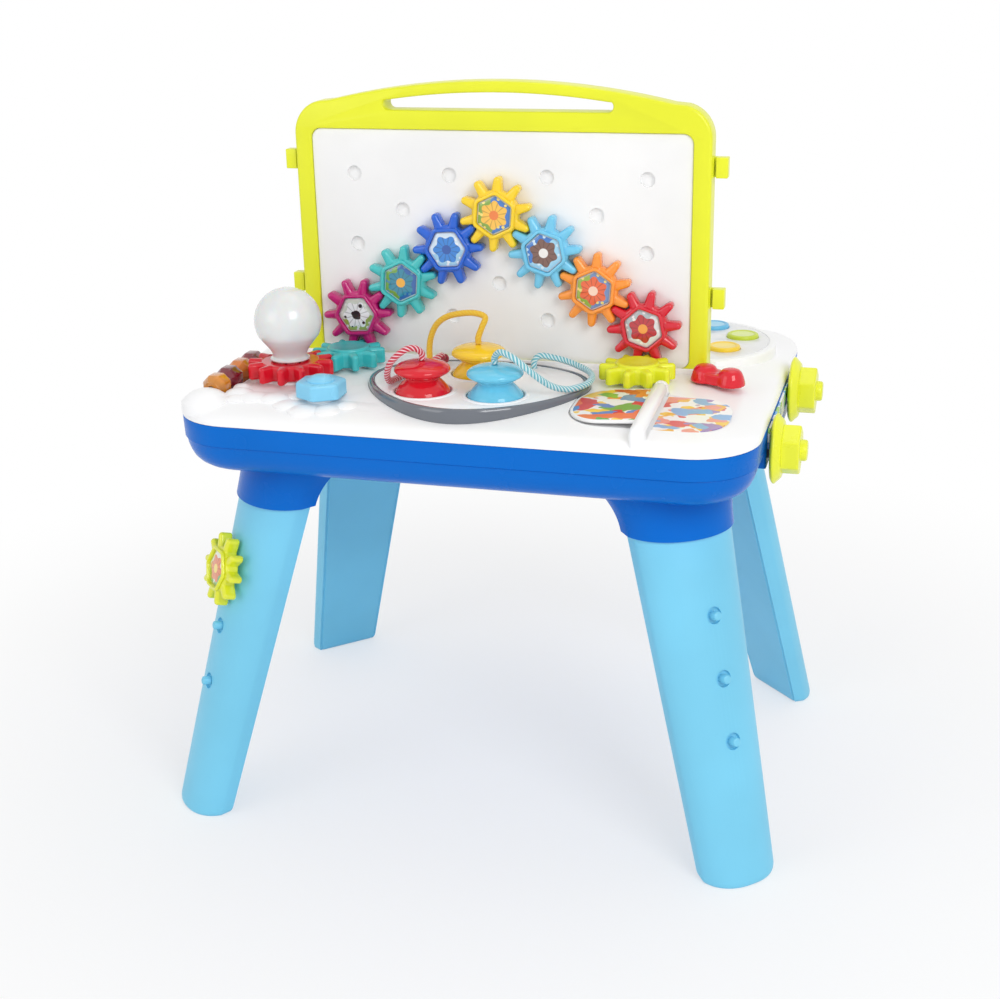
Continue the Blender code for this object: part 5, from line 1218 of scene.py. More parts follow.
def card_finish(name, petals, centre, grounds, spots):
    """A printed card under a clear lens: a plain flower before two tones with a wavy border."""
    finish = Finish("card_" + name, grounds[0], 0.12, Coat_Weight=1.0, Coat_Roughness=0.03)
    spot = finish.own_place()
    x, y, height = finish.split(spot)
    reach = (x * x + y * y).math("SQRT")
    turn = y.math("ARCTAN2", x)
    wave = (x * HORIZON_WAVES).math("SINE") * HORIZON_RISE
    ground = finish.mix((y + wave).soft_step(*HORIZON), grounds[1], grounds[0])
    dots = 1 - card_dots(finish, spot, GROUND_DOTS).soft_step(0.24, 0.28)
    ground = finish.mix(dots, ground, grounds[2])
    scallop = (turn * CARD_PETALS).math("COSINE") * SCALLOP_DEPTH
    flower = 1 - (reach - scallop).soft_step(*FLOWER_EDGE)
    vein = (turn * (CARD_PETALS * 2)).math("COSINE") * 0.5 + 0.5
    petal = finish.mix(vein.soft_step(0.0, 0.22), deeper(petals, 0.62), petals)
    speckle = (1 - card_dots(finish, spot, PETAL_DOTS).soft_step(0.30, 0.34)) * spots
    petal = finish.mix(speckle, petal, centre)
    picture = finish.mix(flower, ground, petal)
    picture = finish.mix(1 - reach.soft_step(*HEART_EDGE), picture, centre)
    edges = [(x * cos(angle) + y * sin(angle)).math("ABSOLUTE")
             for angle in (pi / 6, pi / 2, 5 * pi / 6)]
    outermost = edges[0].math("MAXIMUM", edges[1]).math("MAXIMUM", edges[2])
    finish.feed("Base Color",
                finish.mix(outermost.soft_step(*CARD_EDGE), picture, paint(206, 214, 218)))
    finish.bump(finish.noise(300, 1), 0.00003)
    return finish


def domed_lens():
    """The clear lens: a hexagon at its foot that runs into a shallow round dome."""
    radius = WINDOW_RADIUS - FIT
    levels = [(radius, 8.4, 0), (radius, 10.5, 0), (radius - 0.5 * MM, 10.9, 0),
              (radius - 2.2 * MM, 11.3, 0), (radius - 3 * MM, 11.45, 0.2), (9.5 * MM, 11.75, 0.6),
              (6 * MM, 11.9, 1), (2.5 * MM, 11.97, 1)]
    return loft([hexagon(size, height * MM, roundness) for size, height, roundness in levels])


GEAR_COLOURS = {"magenta": paint(196, 12, 116), "teal": paint(66, 196, 196),
                "blue": paint(18, 98, 214), "yellow": paint(254, 216, 34),
                "light_blue": paint(116, 204, 240), "orange": paint(253, 154, 52),
                "red": paint(222, 26, 50), "lime": LIME}
CARD_PRINTS = {"magenta": (paint(240, 240, 244), paint(36, 28, 34),
                           [paint(205, 210, 200), paint(150, 172, 84), paint(225, 228, 222)]),
               "teal": (paint(34, 136, 164), paint(246, 178, 50),
                        [paint(30, 96, 170), paint(112, 164, 62), paint(80, 140, 170)]),
               "blue": (paint(40, 132, 218), paint(24, 84, 170),
                        [paint(214, 232, 244), paint(160, 208, 232), paint(236, 242, 246)]),
               "yellow": (paint(252, 196, 72), paint(240, 128, 52),
                          [paint(60, 120, 200), paint(130, 168, 60), paint(250, 226, 120)]),
               "light_blue": (paint(122, 84, 72), paint(240, 238, 234),
                              [paint(160, 214, 240), paint(50, 120, 200), paint(216, 236, 246)]),
               "orange": (paint(238, 100, 44), paint(250, 214, 190),
                          [paint(110, 140, 190), paint(150, 180, 60), paint(240, 220, 120)]),
               "red": (paint(192, 34, 46), paint(246, 160, 50),
                       [paint(222, 226, 230), paint(176, 190, 196), paint(240, 242, 244)]),
               "lime": (paint(238, 124, 56), paint(250, 220, 90),
                        [paint(236, 240, 236), paint(110, 180, 110), paint(250, 250, 240)])}
EASEL_SOCKETS = {"magenta": (1, 5), "teal": (2, 4), "blue": (3, 3), "yellow": (4, 2),
                 "light_blue": (5, 3), "orange": (6, 4), "red": (7, 5)}


def plastic(name, blue="blue"):
    """The slot for a plastic of the named colour; the deck's toys have a pale blue of their own."""
    return {"light_blue": "pale_blue", "blue": blue}.get(name, name) + "_plastic"


def easel_gear_phases():
    """Tooth angles in degrees at which each gear's teeth stand in its neighbour's gaps."""
    sockets = list(EASEL_SOCKETS.values())
    phases = [FIRST_PHASE]
    train_angle = degrees(atan2(SOCKET_ROW, SOCKET_COLUMN))
    for before, after in zip(sockets, sockets[1:]):
        direction = train_angle * (before[1] - after[1])
        phases.append(2 * direction + 180 + 180 / GEAR_TEETH - phases[-1])
    return dict(zip(EASEL_SOCKETS, phases))


phases = easel_gear_phases()
gear_shape, lens_shape = windowed_gear(), domed_lens()
for name, colour in GEAR_COLOURS.items():
    if name == "lime":
        spot = peg_frame(0, -1, -1) @ Matrix.Translation((0, 0, GEAR_STANDOFF))
    else:
        column, row = EASEL_SOCKETS[name]
        height = LOWEST_ROW + (5 - row) * SOCKET_ROW
        spot = (shifted((column - 4) * SOCKET_COLUMN, BOARD_FRONT - GEAR_STANDOFF, height)
                @ Matrix.Rotation(pi / 2, 4, "X") @ Matrix.Rotation(radians(phases[name]), 4, "Z"))
    gear_finish = moulded("gear_" + name, colour, 0.16, Coat_Weight=0.3, Coat_Roughness=0.05)
    finished("gear_" + name + "_moulded", gear_shape.copy(), gear_finish, "gear_" + name,
             ["gear_" + name], plastic(name), 35, spot)
    card = card_finish(name, *CARD_PRINTS[name], 1.0 if name == "magenta" else 0.0)
    finished("lens_" + name, lens_shape.copy(), card, "gear_" + name, ["window_" + name],
             "clear_lens", 50, spot)
gear_shape.free()
lens_shape.free()


# Deck gears: a teal and a lime gear that lie flat on the deck in mesh with the outer easel gears,
# and a red twelve-toothed one round the bulb's neck. All are glossy mouldings on a pin.
DECK_GEAR_THICKNESS = 13 * MM
BULB_GEAR_TEETH = 12
BULB_DIRECTION = 232
deck_gear_height = PEDESTAL_TOP + FIT
HUB_PROFILE = [(0, 10), (17, 10), (17, 13.2), (16.75, 13.9), (16.2, 14.4), (15.4, 14.6),
               (13.6, 14.6), (12.6, 14.35), (4, 14.3), (0, 14.3)]


def deck_gear():
    """A closed gear with a low round hub, and the bore for its pin underneath."""
    blank = united(gear_blank(GEAR_TEETH, DECK_GEAR_THICKNESS), lathe(in_mm(HUB_PROFILE), 64))
    return carved(blank, lathe(rod(5.4 * MM, -MM, 10 * MM), 32))


teal_phase = 90 - FIRST_PHASE % (360 / GEAR_TEETH)
lime_phase = 90 - phases["red"] % (360 / GEAR_TEETH)
teal_share = GEAR_TEETH * (teal_phase - BULB_DIRECTION)
bulb_phase = BULB_DIRECTION + 180 + (180 - teal_share) / BULB_GEAR_TEETH
teal_finish = moulded("deck_gear_teal", paint(66, 196, 200), 0.2)
deck_lime_finish = moulded("deck_gear_lime", LIME, 0.26)
for name, finish, x, phase in (("teal", teal_finish, -TABLE_GEAR_X, teal_phase),
                               ("lime", deck_lime_finish, TABLE_GEAR_X, lime_phase)):
    spot = shifted(x, TABLE_GEAR_Y, deck_gear_height) @ Matrix.Rotation(radians(phase), 4, "Z")
    finished("deck_gear_" + name, deck_gear(), finish, "table_gear_" + name, ["table_gear_" + name],
             name + "_plastic", 35, spot)
ring = gear_blank(BULB_GEAR_TEETH, DECK_GEAR_THICKNESS)
dish = [(14, 12.2), (22.4, 12.2), (23.6, 13.2), (23.6, 16), (14, 16)]
ring = carved(ring, lathe(in_mm(dish), 72, closed=True), lathe(rod(14 * MM, -MM, 16 * MM), 64))
spot = shifted(*BULB_PLACE, deck_gear_height) @ Matrix.Rotation(radians(bulb_phase), 4, "Z")
bulb_gear_finish = moulded("bulb_gear_red", paint(218, 24, 44), 0.12, Specular_IOR_Level=0.3,
                           Coat_Weight=0.25, Coat_Roughness=0.04)
finished("bulb_gear_moulded", ring, bulb_gear_finish, "bulb_gear", ["bulb_gear"], "red_plastic", 35,
         spot)


# Bulb: a milky blow-moulded globe that runs smoothly into its neck, over a thin clear-edged
# flange. It stands on the deck inside the red gear, with a small lamp housing in it.
BULB_RADIUS = 26.5 * MM
BULB_CENTRE = 402.4 * MM
BULB_NECK = 13.2 * MM
BULB_WALL = 1.8 * MM
bulb_finish = Finish("bulb_milky", paint(226, 225, 225), 0.2, Subsurface_Weight=0.25,
                     Subsurface_Scale=0.006, Coat_Weight=0.4, Coat_Roughness=0.08)
bulb_finish.feed("Roughness", bulb_finish.noise(30, 3) * 0.12 + 0.18)
heights = bulb_finish.split(bulb_finish.place())[2]
# Painted shade: the colour is painted darker from the lower globe down into the neck, where the
# lamps light it less.
NECK_PAINTED_SHADE = (0.374, 0.398)
neck_painted_shade = 1 - heights.soft_step(*NECK_PAINTED_SHADE)
bulb_finish.feed("Base Color",
                 bulb_finish.mix(neck_painted_shade, paint(228, 227, 227), paint(218, 217, 217)))
bulb_finish.bump(bulb_finish.noise(60, 2), 0.00006)
neck_low = PEDESTAL_TOP + FIT


def globe(radius, turns):
    """Points of the bulb's round part, at angles from its level middle."""
    return [(radius * cos(radians(turn)), BULB_CENTRE + radius * sin(radians(turn)))
            for turn in turns]


NECK_PROFILE = [(13.2, 371.4), (15.4, 371.9), (15.6, 372.3), (15.6, 372.8), (15.3, 373.1),
                (14.3, 373.4), (13.6, 374.0), (13.4, 374.8), (13.6, 376.2), (14.2, 378.0),
                (15.2, 379.9), (16.7, 382.0), (18.5, 384.2), (20.5, 386.6), (22.3, 389.1)]
profile = [(BULB_NECK, neck_low)] + in_mm(NECK_PROFILE)
profile += globe(BULB_RADIUS, range(-26, 85, 6)) + [(0, BULB_CENTRE + BULB_RADIUS)]
profile.append((0, BULB_CENTRE + BULB_RADIUS - BULB_WALL))
profile += globe(BULB_RADIUS - BULB_WALL, range(75, -40, -12))
profile += [(BULB_NECK - BULB_WALL, 376 * MM), (BULB_NECK - BULB_WALL, neck_low)]
bulb = lathe(profile, 64, shifted(*BULB_PLACE), closed=True)
finished("bulb_globe", bulb, bulb_finish, "base", ["bulb"], "translucent_bulb", 50)


def dressed(finish, *nodes):
    """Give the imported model's own parts a finish where their shape is already right."""
    for node in nodes:
        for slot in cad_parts[node].material_slots:
            slot.material = finish.material


# Hexagonal nut: a pale blue knob with softened corners and a stepped round button on top, turned
# on a pin of the deck.
pale_blue_finish = moulded("nut_pale_blue", paint(132, 208, 242), 0.28)
nut_levels = [(19.4, 0), (20, 0.6), (20, 10.2), (19.8, 11.0), (19.3, 11.6), (18.5, 12.0)]
nut = loft([hexagon(size * MM, height * MM, corner=0.975, turn=pi / 6)
            for size, height in nut_levels])
BUTTON_STEPS = [(0, 9), (11, 9), (11, 12.5), (10.7, 13.1), (10.1, 13.5), (9.3, 13.7), (8.6, 14.1),
                (7.8, 14.9), (6.4, 15.6), (4.4, 16.15), (2.2, 16.4), (0, 16.5)]
nut = carved(united(nut, lathe(in_mm(BUTTON_STEPS), 48)), lathe(rod(4.4 * MM, -MM, 8 * MM), 32))
finished("hex_nut_moulded", nut, pale_blue_finish, "hex_nut", ["hex_nut"], "pale_blue_plastic", 32,
         shifted(*NUT_PLACE, nut_seat + FIT))


# Plate: a white egg-shaped panel in a raised, glossy slate grey rim. Round the foot of each plug
# runs a groove inside a low white ring, and a small hole takes the end of each rope.
PLATE_RIM_WIDTH = 4.5 * MM
PLATE_LEDGE = 3 * MM
PLATE_THICKNESS = 3.3 * MM
rim_finish = moulded("plate_rim_slate", paint(104, 109, 118), 0.12, Coat_Weight=0.6,
                     Coat_Roughness=0.04)


def plate_ring(inset, height):
    """The plate's outline, drawn in by an inset, at one height."""
    return raised_to(height, plate_outline(inset))


plate_floor = PLATE_TOP - PLATE_THICKNESS
RIM_PROFILE = [(0, -5), (0.25, -2.4), (0.7, -0.8), (1.3, 0), (2.1, 0.35), (3.4, 0.4), (4.1, 0.25)]
rim_levels = [(0, PLATE_BED + FIT), *near(0, PLATE_TOP, RIM_PROFILE),
              (PLATE_RIM_WIDTH, PLATE_TOP - 0.3 * MM), (PLATE_RIM_WIDTH, plate_floor - FIT),
              (PLATE_RIM_WIDTH + PLATE_LEDGE, plate_floor - FIT),
              (PLATE_RIM_WIDTH + PLATE_LEDGE, PLATE_BED + FIT)]
finished("plate_rim_ring", loft([plate_ring(*spot) for spot in rim_levels], closed=True),
         rim_finish, "base", ["plate_rim"], "slate_plastic", 32)
plate_edge = PLATE_RIM_WIDTH + 0.5 * MM
plate = loft([plate_ring(plate_edge, plate_floor), plate_ring(plate_edge, PLATE_TOP - 0.7 * MM),
              plate_ring(plate_edge + 0.2 * MM, PLATE_TOP - 0.2 * MM),
              plate_ring(plate_edge + 0.7 * MM, PLATE_TOP)])
RING_PROFILE = [(20, -1.2), (25.6, -1.2), (25.6, 0.15), (25.2, 0.6), (24.4, 0.9), (23.4, 0.9),
                (22.7, 0.7), (22.4, 0.3), (22.4, -0.5), (20, -0.5)]
GROOVE_PROFILE = [(18, -2.4), (22.4, -2.4), (22.4, 3), (18, 3)]
for name, (x, y) in PLUG_PLACES.items():
    place = shifted(x * MM, y * MM, PLATE_TOP)
    plate = united(plate, lathe(in_mm(RING_PROFILE), 64, place, closed=True))
    plate = carved(plate, lathe(in_mm(GROOVE_PROFILE), 64, place, closed=True),
                   lathe(rod(10.2 * MM, -9 * MM, 3 * MM), 32, place))
for x, y in ROPE_ENDS.values():
    plate = carved(plate, tub(3.2 * MM, PLATE_BED, PLATE_TOP, x * MM, y * MM, 0.6 * MM, 32))
finished("plate_panel", plate, white_finish, "base", ["plate"], "white_plastic", 32)


# Plugs: three glossy knobs in red, yellow and blue, each a lens-shaped cap with a fine parting
# line, a waist and a cone that widens down into the plate. The rope leaves a hole in the cap.
CAP_EDGE = 16.5
plug_profile = [(0, -11), (9, -11), (9, -1.9), (20.4, -1.9), (21.0, -1.5), (21.2, -0.6),
                (21.0, 0.6), (18.2, 4.2), (15.4, 7.4), (13.7, 9.2), (13.1, 10.1), (13.3, 10.9),
                (14.9, 11.9), (17.6, 13.2), (20.0, 14.6), (21.1, 15.5), (21.45, CAP_EDGE - 0.25),
                (21.25, CAP_EDGE), (21.45, CAP_EDGE + 0.25)]
for turn in range(8, 84, 6):
    plug_profile.append((21.5 * cos(radians(turn)),
                         CAP_EDGE + 0.2 + 6.9 * sin(radians(turn)) ** 0.92))
plug_profile += [(1.9, 23.5), (1.5, 23.1), (0, 22.9)]
PLUG_PAINTS = {"red": paint(222, 24, 42), "yellow": paint(254, 208, 40),
               "blue": paint(112, 206, 238)}
for name, (x, y) in PLUG_PLACES.items():
    plug_finish = moulded("plug_" + name, PLUG_PAINTS[name], 0.1, Specular_IOR_Level=0.3,
                          Coat_Weight=0.3, Coat_Roughness=0.04)
    place = shifted(x * MM, y * MM, PLATE_TOP + FIT)
    finished("plug_" + name + "_turned", lathe(in_mm(plug_profile), 72), plug_finish,
             "plug_" + name, ["plug_" + name], plastic(name, "pale_blue"), 40, place)


# Book: one stiff white leaf with two broad round corners that turns on a bar-like spine, over a
# second page printed on a sheet let into the deck. Both show loose patches of printed colour.
PAGE_THICKNESS = 2.4 * MM
PAGE_MARGIN = 2 * MM
PAGE_BORDER = 2.2 * MM
SPINE_PIN = 1.9 * MM
page_rest = asin((SPINE_HEIGHT - PAGE_THICKNESS / 2 - MM) / PAGE_WIDTH)


def page_outline(side, inner, inset=0.0, steps=14):
    """One page with two round outer corners; side is -1 for the left page and 1 for the right."""
    low, high = PAGE_MARGIN + inset, BOOK_DEPTH - PAGE_MARGIN - inset
    corner, width = PAGE_CORNER - inset, PAGE_WIDTH - inset
    outline = [(side * inner, high), (side * inner, low)]
    for centre_y, start in ((low + corner, 270), (high - corner, 360)):
        for step in range(steps + 1):
            angle = radians(start + 90 * step / steps)
            outline.append((side * (width - corner + corner * cos(angle)),
                            centre_y + corner * sin(angle)))
    return outline


def print_finish(name, ground, colours, seed, bordered):
    """A printed page: patches of flat ink, inside a white border where the page has one."""
    finish = Finish(name, ground, 0.3, Coat_Weight=0.25, Coat_Roughness=0.15)
    spot = finish.own_place()
    stretched = finish.node("VectorMath", {"operation": "MULTIPLY"}, {0: spot, 1: (0.75, 1.0, 1.0)})
    moved = finish.node("VectorMath", {"operation": "ADD"}, {0: stretched, 1: (seed, 0, 0)})
    ink = patches(finish, moved, ground, colours, 62, 1.6)
    if bordered:
        x, y, height = finish.split(spot)
        across, along = x * -1.0, (y - BOOK_DEPTH / 2).math("ABSOLUTE")
        half_depth = BOOK_DEPTH / 2 - PAGE_MARGIN
        corner_x = (across - (PAGE_WIDTH - PAGE_CORNER)).math("MAXIMUM", 0.0)
        corner_y = (along - (half_depth - PAGE_CORNER)).math("MAXIMUM", 0.0)
        reach = (corner_x * corner_x + corner_y * corner_y).math("SQRT")
        inside = (reach < PAGE_CORNER - PAGE_BORDER) * (across > SPINE_RADIUS + 0.5 * MM)
        ink = finish.mix(inside * (height > 0.1 * MM), paint(248, 248, 248), ink)
    finish.feed("Base Color", ink)
    finish.bump(finish.noise(1200), 0.00001)
    return finish


def along_y(profile, steps=32):
    """A profile of (radius, y) turned about the Y axis."""
    return lathe(profile, steps, Matrix.Rotation(-pi / 2, 4, "X"))


leaf_levels = near(0, -PAGE_THICKNESS / 2, [(0.5, 0), (0, 0.5)])
leaf_levels += near(0, PAGE_THICKNESS / 2, [(0, -0.5), (0.15, -0.15), (0.5, 0)])
leaf = loft([[(x, y, height) for x, y in page_outline(-1, SPINE_RADIUS * 0.6, inset)]
             for inset, height in leaf_levels])
lean = Matrix.Rotation(-page_rest, 4, "Y")
spine_start = near(SPINE_RADIUS, -SPINE_OVERHANG, [(-1.2, 0), (-0.3, 0.4), (0, 1.2)])
spine_end = near(SPINE_RADIUS, BOOK_DEPTH, [(0, -1.2), (-0.3, -0.4), (-1.2, 0)])
spine = along_y([(0, -SPINE_OVERHANG), *spine_start, *spine_end, (0, BOOK_DEPTH)], 40)
bmesh.ops.transform(spine, matrix=lean.inverted(), verts=spine.verts)
pin_bore = along_y(rod(SPINE_PIN + 0.4 * MM, -SPINE_OVERHANG - MM, BOOK_DEPTH + MM))
leaf = carved(united(leaf, spine), pin_bore)
LEAF_INKS = [paint(250, 208, 70), paint(240, 130, 62), paint(112, 180, 80), paint(216, 52, 56),
             paint(84, 138, 200), paint(238, 120, 64)]
leaf_finish = print_finish("page_leaf_print", paint(246, 246, 244), LEAF_INKS, 1.13, True)
leaf_place = book_frame @ Matrix.Translation((0, 0, SPINE_HEIGHT)) @ lean
finished("page_leaf_board", leaf, leaf_finish, "page_leaf", ["page_leaf"], "white_plastic", 32,
         leaf_place)
sheet_levels = [(0, FIT), (0, 0.8 * MM), (0.2 * MM, 1.0 * MM)]
sheet = loft([[(x, y, height) for x, y in page_outline(1, SPINE_RADIUS + 1.5 * MM, inset)]
              for inset, height in sheet_levels])
SHEET_INKS = [paint(248, 208, 92), paint(224, 98, 98), paint(244, 190, 80), paint(168, 140, 196),
              paint(240, 160, 146), paint(140, 184, 226)]
sheet_finish = print_finish("page_sheet_print", paint(248, 247, 246), SHEET_INKS, 2.41, False)
finished("page_sheet_printed", sheet, sheet_finish, "base", ["page_print"], "printed_sheet", 32,
         book_frame)
dressed(white_finish, "page_pin")


# Beads: four faceted barrels of clear coloured plastic on a steel axle between two mounds. Their
# edges are softened and the colour lies inside the plastic.
BEAD_LENGTH = 22 * MM
BEAD_GAP = 0.6 * MM
BEAD_BORE = 2.9 * MM
BEAD_PAINTS = {"bead_orange_front": paint(247, 158, 38), "bead_maroon": paint(140, 12, 40),
               "bead_orange_rear": paint(244, 140, 44), "bead_dark_red": paint(160, 20, 44)}
for index, (name, colour) in enumerate(BEAD_PAINTS.items()):
    finish = Finish(name + "_clear", colour, 0.08, Transmission_Weight=0.25, Coat_Weight=0.7,
                    Coat_Roughness=0.03)
    cloud = finish.noise(70, 2).soft_step(0.3, 0.7)
    finish.feed("Base Color", finish.mix(cloud, colour, deeper(colour, 0.7)))
    finish.bump(finish.noise(160, 1), 0.00004)
    half = BEAD_LENGTH / 2
    rings = []
    for size, height in ((0.62, -half), (1.0, -half * 0.45), (1.0, half * 0.45), (0.62, half)):
        rings.append([(BEAD_RADIUS * size * cos(pi / 8 + pi / 4 * side),
                       BEAD_RADIUS * size * sin(pi / 8 + pi / 4 * side), height)
                      for side in range(8)])
    bead = rounded(loft(rings), 0.6 * MM, 2, 20)
    bead = carved(bead, lathe(rod(BEAD_BORE, -half - MM, half + MM), 24))
    bead_y = BEAD_ROW[0] + half + index * (BEAD_LENGTH + BEAD_GAP)
    spot = shifted(BEAD_X, bead_y, BEAD_AXLE_Z) @ Matrix.Rotation(-pi / 2, 4, "X")
    slot = "orange_plastic" if "orange" in name else "dark_red_plastic"
    finished(name + "_faceted", bead, finish, name, [name], slot, 20, spot)
axle_finish = Finish("axle_steel", paint(200, 202, 206), 0.3, Metallic=1.0)
axle_finish.feed("Roughness", axle_finish.noise(500) * 0.2 + 0.2)
dressed(axle_finish, "bead_axle")


# Mode switch: a glossy red bow-tie knob with two high round lobes and a valley between them.
SWITCH_PLACE = (181 * MM, -38 * MM)
SWITCH_BASE = 356.6 * MM
SWITCH_TURN = radians(-24)
SWITCH_BORE = 4.4 * MM
LOBE_PLACE = 11.4 * MM
LOBE_PROFILE = [(0, 0), (11.4, 0), (11.5, 0.8), (11.1, 3), (10.2, 6.4), (9.1, 9.2), (7.9, 11.1),
                (6.1, 12.4), (3.4, 13.1), (0, 13.3)]
SWITCH_VOXEL = 0.7 * MM
BRIDGE_HALF = (8 * MM, 9.2 * MM)
BRIDGE_TOP = 8.2 * MM


def melted(bm, voxel, rounds):
    """Run joined shapes into one another, as in a soft moulding."""
    shape = as_object(bm)
    shape.modifiers.new("remesh", "REMESH").voxel_size = voxel
    shape.modifiers.new("smooth", "SMOOTH").iterations = rounds
    return worked_out(shape)


lobes = [lathe(in_mm(LOBE_PROFILE), 56, Matrix.Translation((side * LOBE_PLACE, 0, 0)))
         for side in (-1, 1)]
bridge = prism(box_outline((-BRIDGE_HALF[0], -BRIDGE_HALF[1]), BRIDGE_HALF, 2 * MM), 0, BRIDGE_TOP,
               Vector((0, 0, 0)))
switch = melted(united(lobes[0], lobes[1], bridge), SWITCH_VOXEL, 10)
switch = carved(switch, lathe(rod(SWITCH_BORE, -MM, 5 * MM), 24))
switch_finish = moulded("switch_red", paint(222, 24, 42), 0.12, Specular_IOR_Level=0.35,
                        Coat_Weight=0.25, Coat_Roughness=0.04)
spot = shifted(*SWITCH_PLACE, SWITCH_BASE + FIT) @ Matrix.Rotation(SWITCH_TURN, 4, "Z")
finished("mode_switch_moulded", switch, switch_finish, "mode_switch", ["mode_switch"],
         "red_plastic", 40, spot)


# Buttons: three round push buttons in the pad, satin plastic with a raised rim round a flat,
# paler middle.
BUTTON_BOTTOM = PAD_TOP - 3.5 * MM
BUTTON_MIDDLE = (0.0090, 0.0096)
BUTTON_PROFILE = [(0, 0), (13.2, 0), (13.2, 4.9), (13.0, 5.6), (12.5, 6.1), (11.7, 6.4),
                  (10.8, 6.5), (10.0, 6.35), (9.5, 5.95), (8.9, 5.8), (0, 5.8)]
BUTTON_PAINTS = {"blue": (paint(104, 190, 232), paint(160, 216, 242)),
                 "green": (paint(204, 222, 60), paint(222, 234, 146)),
                 "yellow": (paint(252, 214, 54), paint(250, 224, 112))}
for name, (rim_colour, middle_colour) in BUTTON_PAINTS.items():
    finish = moulded("button_" + name, rim_colour, 0.3)
    x, y, height = finish.split(finish.own_place())
    reach = (x * x + y * y).math("SQRT")
    flow = finish.mix(finish.noise(25).soft_step(0.35, 0.65), rim_colour, deeper(rim_colour, 0.93))
    finish.feed("Base Color", finish.mix(reach.soft_step(*BUTTON_MIDDLE), middle_colour, flow))
    finished("button_" + name + "_moulded", lathe(in_mm(BUTTON_PROFILE), 56), finish,
             "button_" + name, ["button_" + name], plastic(name, "pale_blue"), 35,
             shifted(*BUTTON_PLACES[name], BUTTON_BOTTOM))


# Side knobs: two lime plastic screws on black hubs at the right, each a thin round flange with a
# cone, a hexagonal nut and a round cap, turned by hand.
HUB_END = 228.9 * MM
knob_finish = moulded("knob_lime", LIME, 0.28)
hub_finish = moulded("hub_black", paint(28, 28, 30), 0.35)
KNOB_PROFILE = [(0, 0), (23.5, 0), (25.4, 0.9), (26.3, 1.7), (26.5, 2.3), (26.4, 3.0), (25.9, 3.6),
                (24.2, 5.2), (22.4, 7.0), (21.4, 7.8), (20.6, 8.0), (0, 8.0)]
KNOB_NUT = [(19.6, 6), (19.6, 19.6), (19.35, 20.3), (18.8, 20.8), (18.0, 21.0)]
KNOB_CAP = [(0, 19), (8.6, 19), (8.6, 21.05), (8.1, 21.5), (8, 24.4), (7.7, 25.2), (7.1, 25.8),
            (6.3, 26.0), (0, 26.0)]
for name, (y, z) in KNOB_PLACES.items():
    knob = united(lathe(in_mm(KNOB_PROFILE), 72),
                  loft([hexagon(*level, corner=0.98) for level in in_mm(KNOB_NUT)]),
                  lathe(in_mm(KNOB_CAP), 40))
    knob = carved(knob, lathe(rod(4.2 * MM, -MM, 15 * MM), 24))
    spot = shifted(HUB_END + FIT, y, z) @ Matrix.Rotation(pi / 2, 4, "Y")
    finished("knob_" + name + "_moulded", knob, knob_finish, "knob_" + name, ["knob_" + name],
             "lime_plastic", 35, spot)
    hub_start = TABLE_LENGTH / 2 - 16 * MM
    hub_face = near(KNOB_HUB_RADIUS, HUB_END, [(0, -0.4), (-0.4, 0)])
    stud = near(0, HUB_END, [(3.8, 0), (3.8, 14), (0, 14)])
    hub = along_x([(0, hub_start), (KNOB_HUB_RADIUS, hub_start), *hub_face, *stud], (y, z))
    finished("knob_hub_" + name + "_turned", hub, hub_finish, "base", ["knob_hub_" + name],
             "black_plastic")


# Side strip: a thin sheet let into the boss behind the knobs, printed in loose blue, green and
# white patches.
STRIP_FACE = BOSS_FACE + FIT
STRIP_THICKNESS = 1.5 * MM
STRIP_LOW = (-90 * MM, 322 * MM)
STRIP_HIGH = (63 * MM, 338 * MM)
STRIP_MIDDLE = (-13.5 * MM, 330 * MM)
strip_outline = box_outline(STRIP_LOW, STRIP_HIGH, 3 * MM, 6)
strip_levels = [(STRIP_FACE, 0), (STRIP_FACE + STRIP_THICKNESS - 0.3 * MM, 0),
                (STRIP_FACE + STRIP_THICKNESS, 0.3 * MM)]
rings = []
for x, inset in strip_levels:
    ring = [(y - inset * (1 if y > STRIP_MIDDLE[0] else -1),
             z - inset * (1 if z > STRIP_MIDDLE[1] else -1)) for y, z in strip_outline]
    rings.append([middle + Vector((x, y, z)) for y, z in ring])
strip = loft(rings)
for place in KNOB_PLACES.values():
    strip = carved(strip, along_x(rod(KNOB_HUB_RADIUS + MM, 216 * MM, 236 * MM), place))
strip_finish = Finish("side_strip_print", paint(244, 246, 247), 0.25, Coat_Weight=0.3)
STRIP_INKS = [paint(90, 170, 220), paint(140, 200, 90), paint(60, 120, 200)]
strip_ink = patches(strip_finish, strip_finish.place(), paint(244, 246, 247), STRIP_INKS, 60)
strip_finish.feed("Base Color", strip_ink)
finished("side_panel_printed", strip, strip_finish, "base", ["side_panel"], "printed_sheet")


# Inside: the battery box and the speaker's cone are black, the circuit board is green with a fine
# weave, and the bulb's lamp housing is white.
board_weave = Finish("circuit_board_green", paint(24, 110, 56), 0.4)
board_weave.feed("Base Color", board_weave.mix(board_weave.noise(260, 3).soft_step(0.45, 0.55),
                                               paint(24, 110, 56), paint(40, 140, 76)))
board_weave.bump(board_weave.noise(1500), 0.00004)
dressed(board_weave, "circuit_board")
dressed(hub_finish, "battery_box", "speaker")
dressed(board_finish, "bulb_lamp")


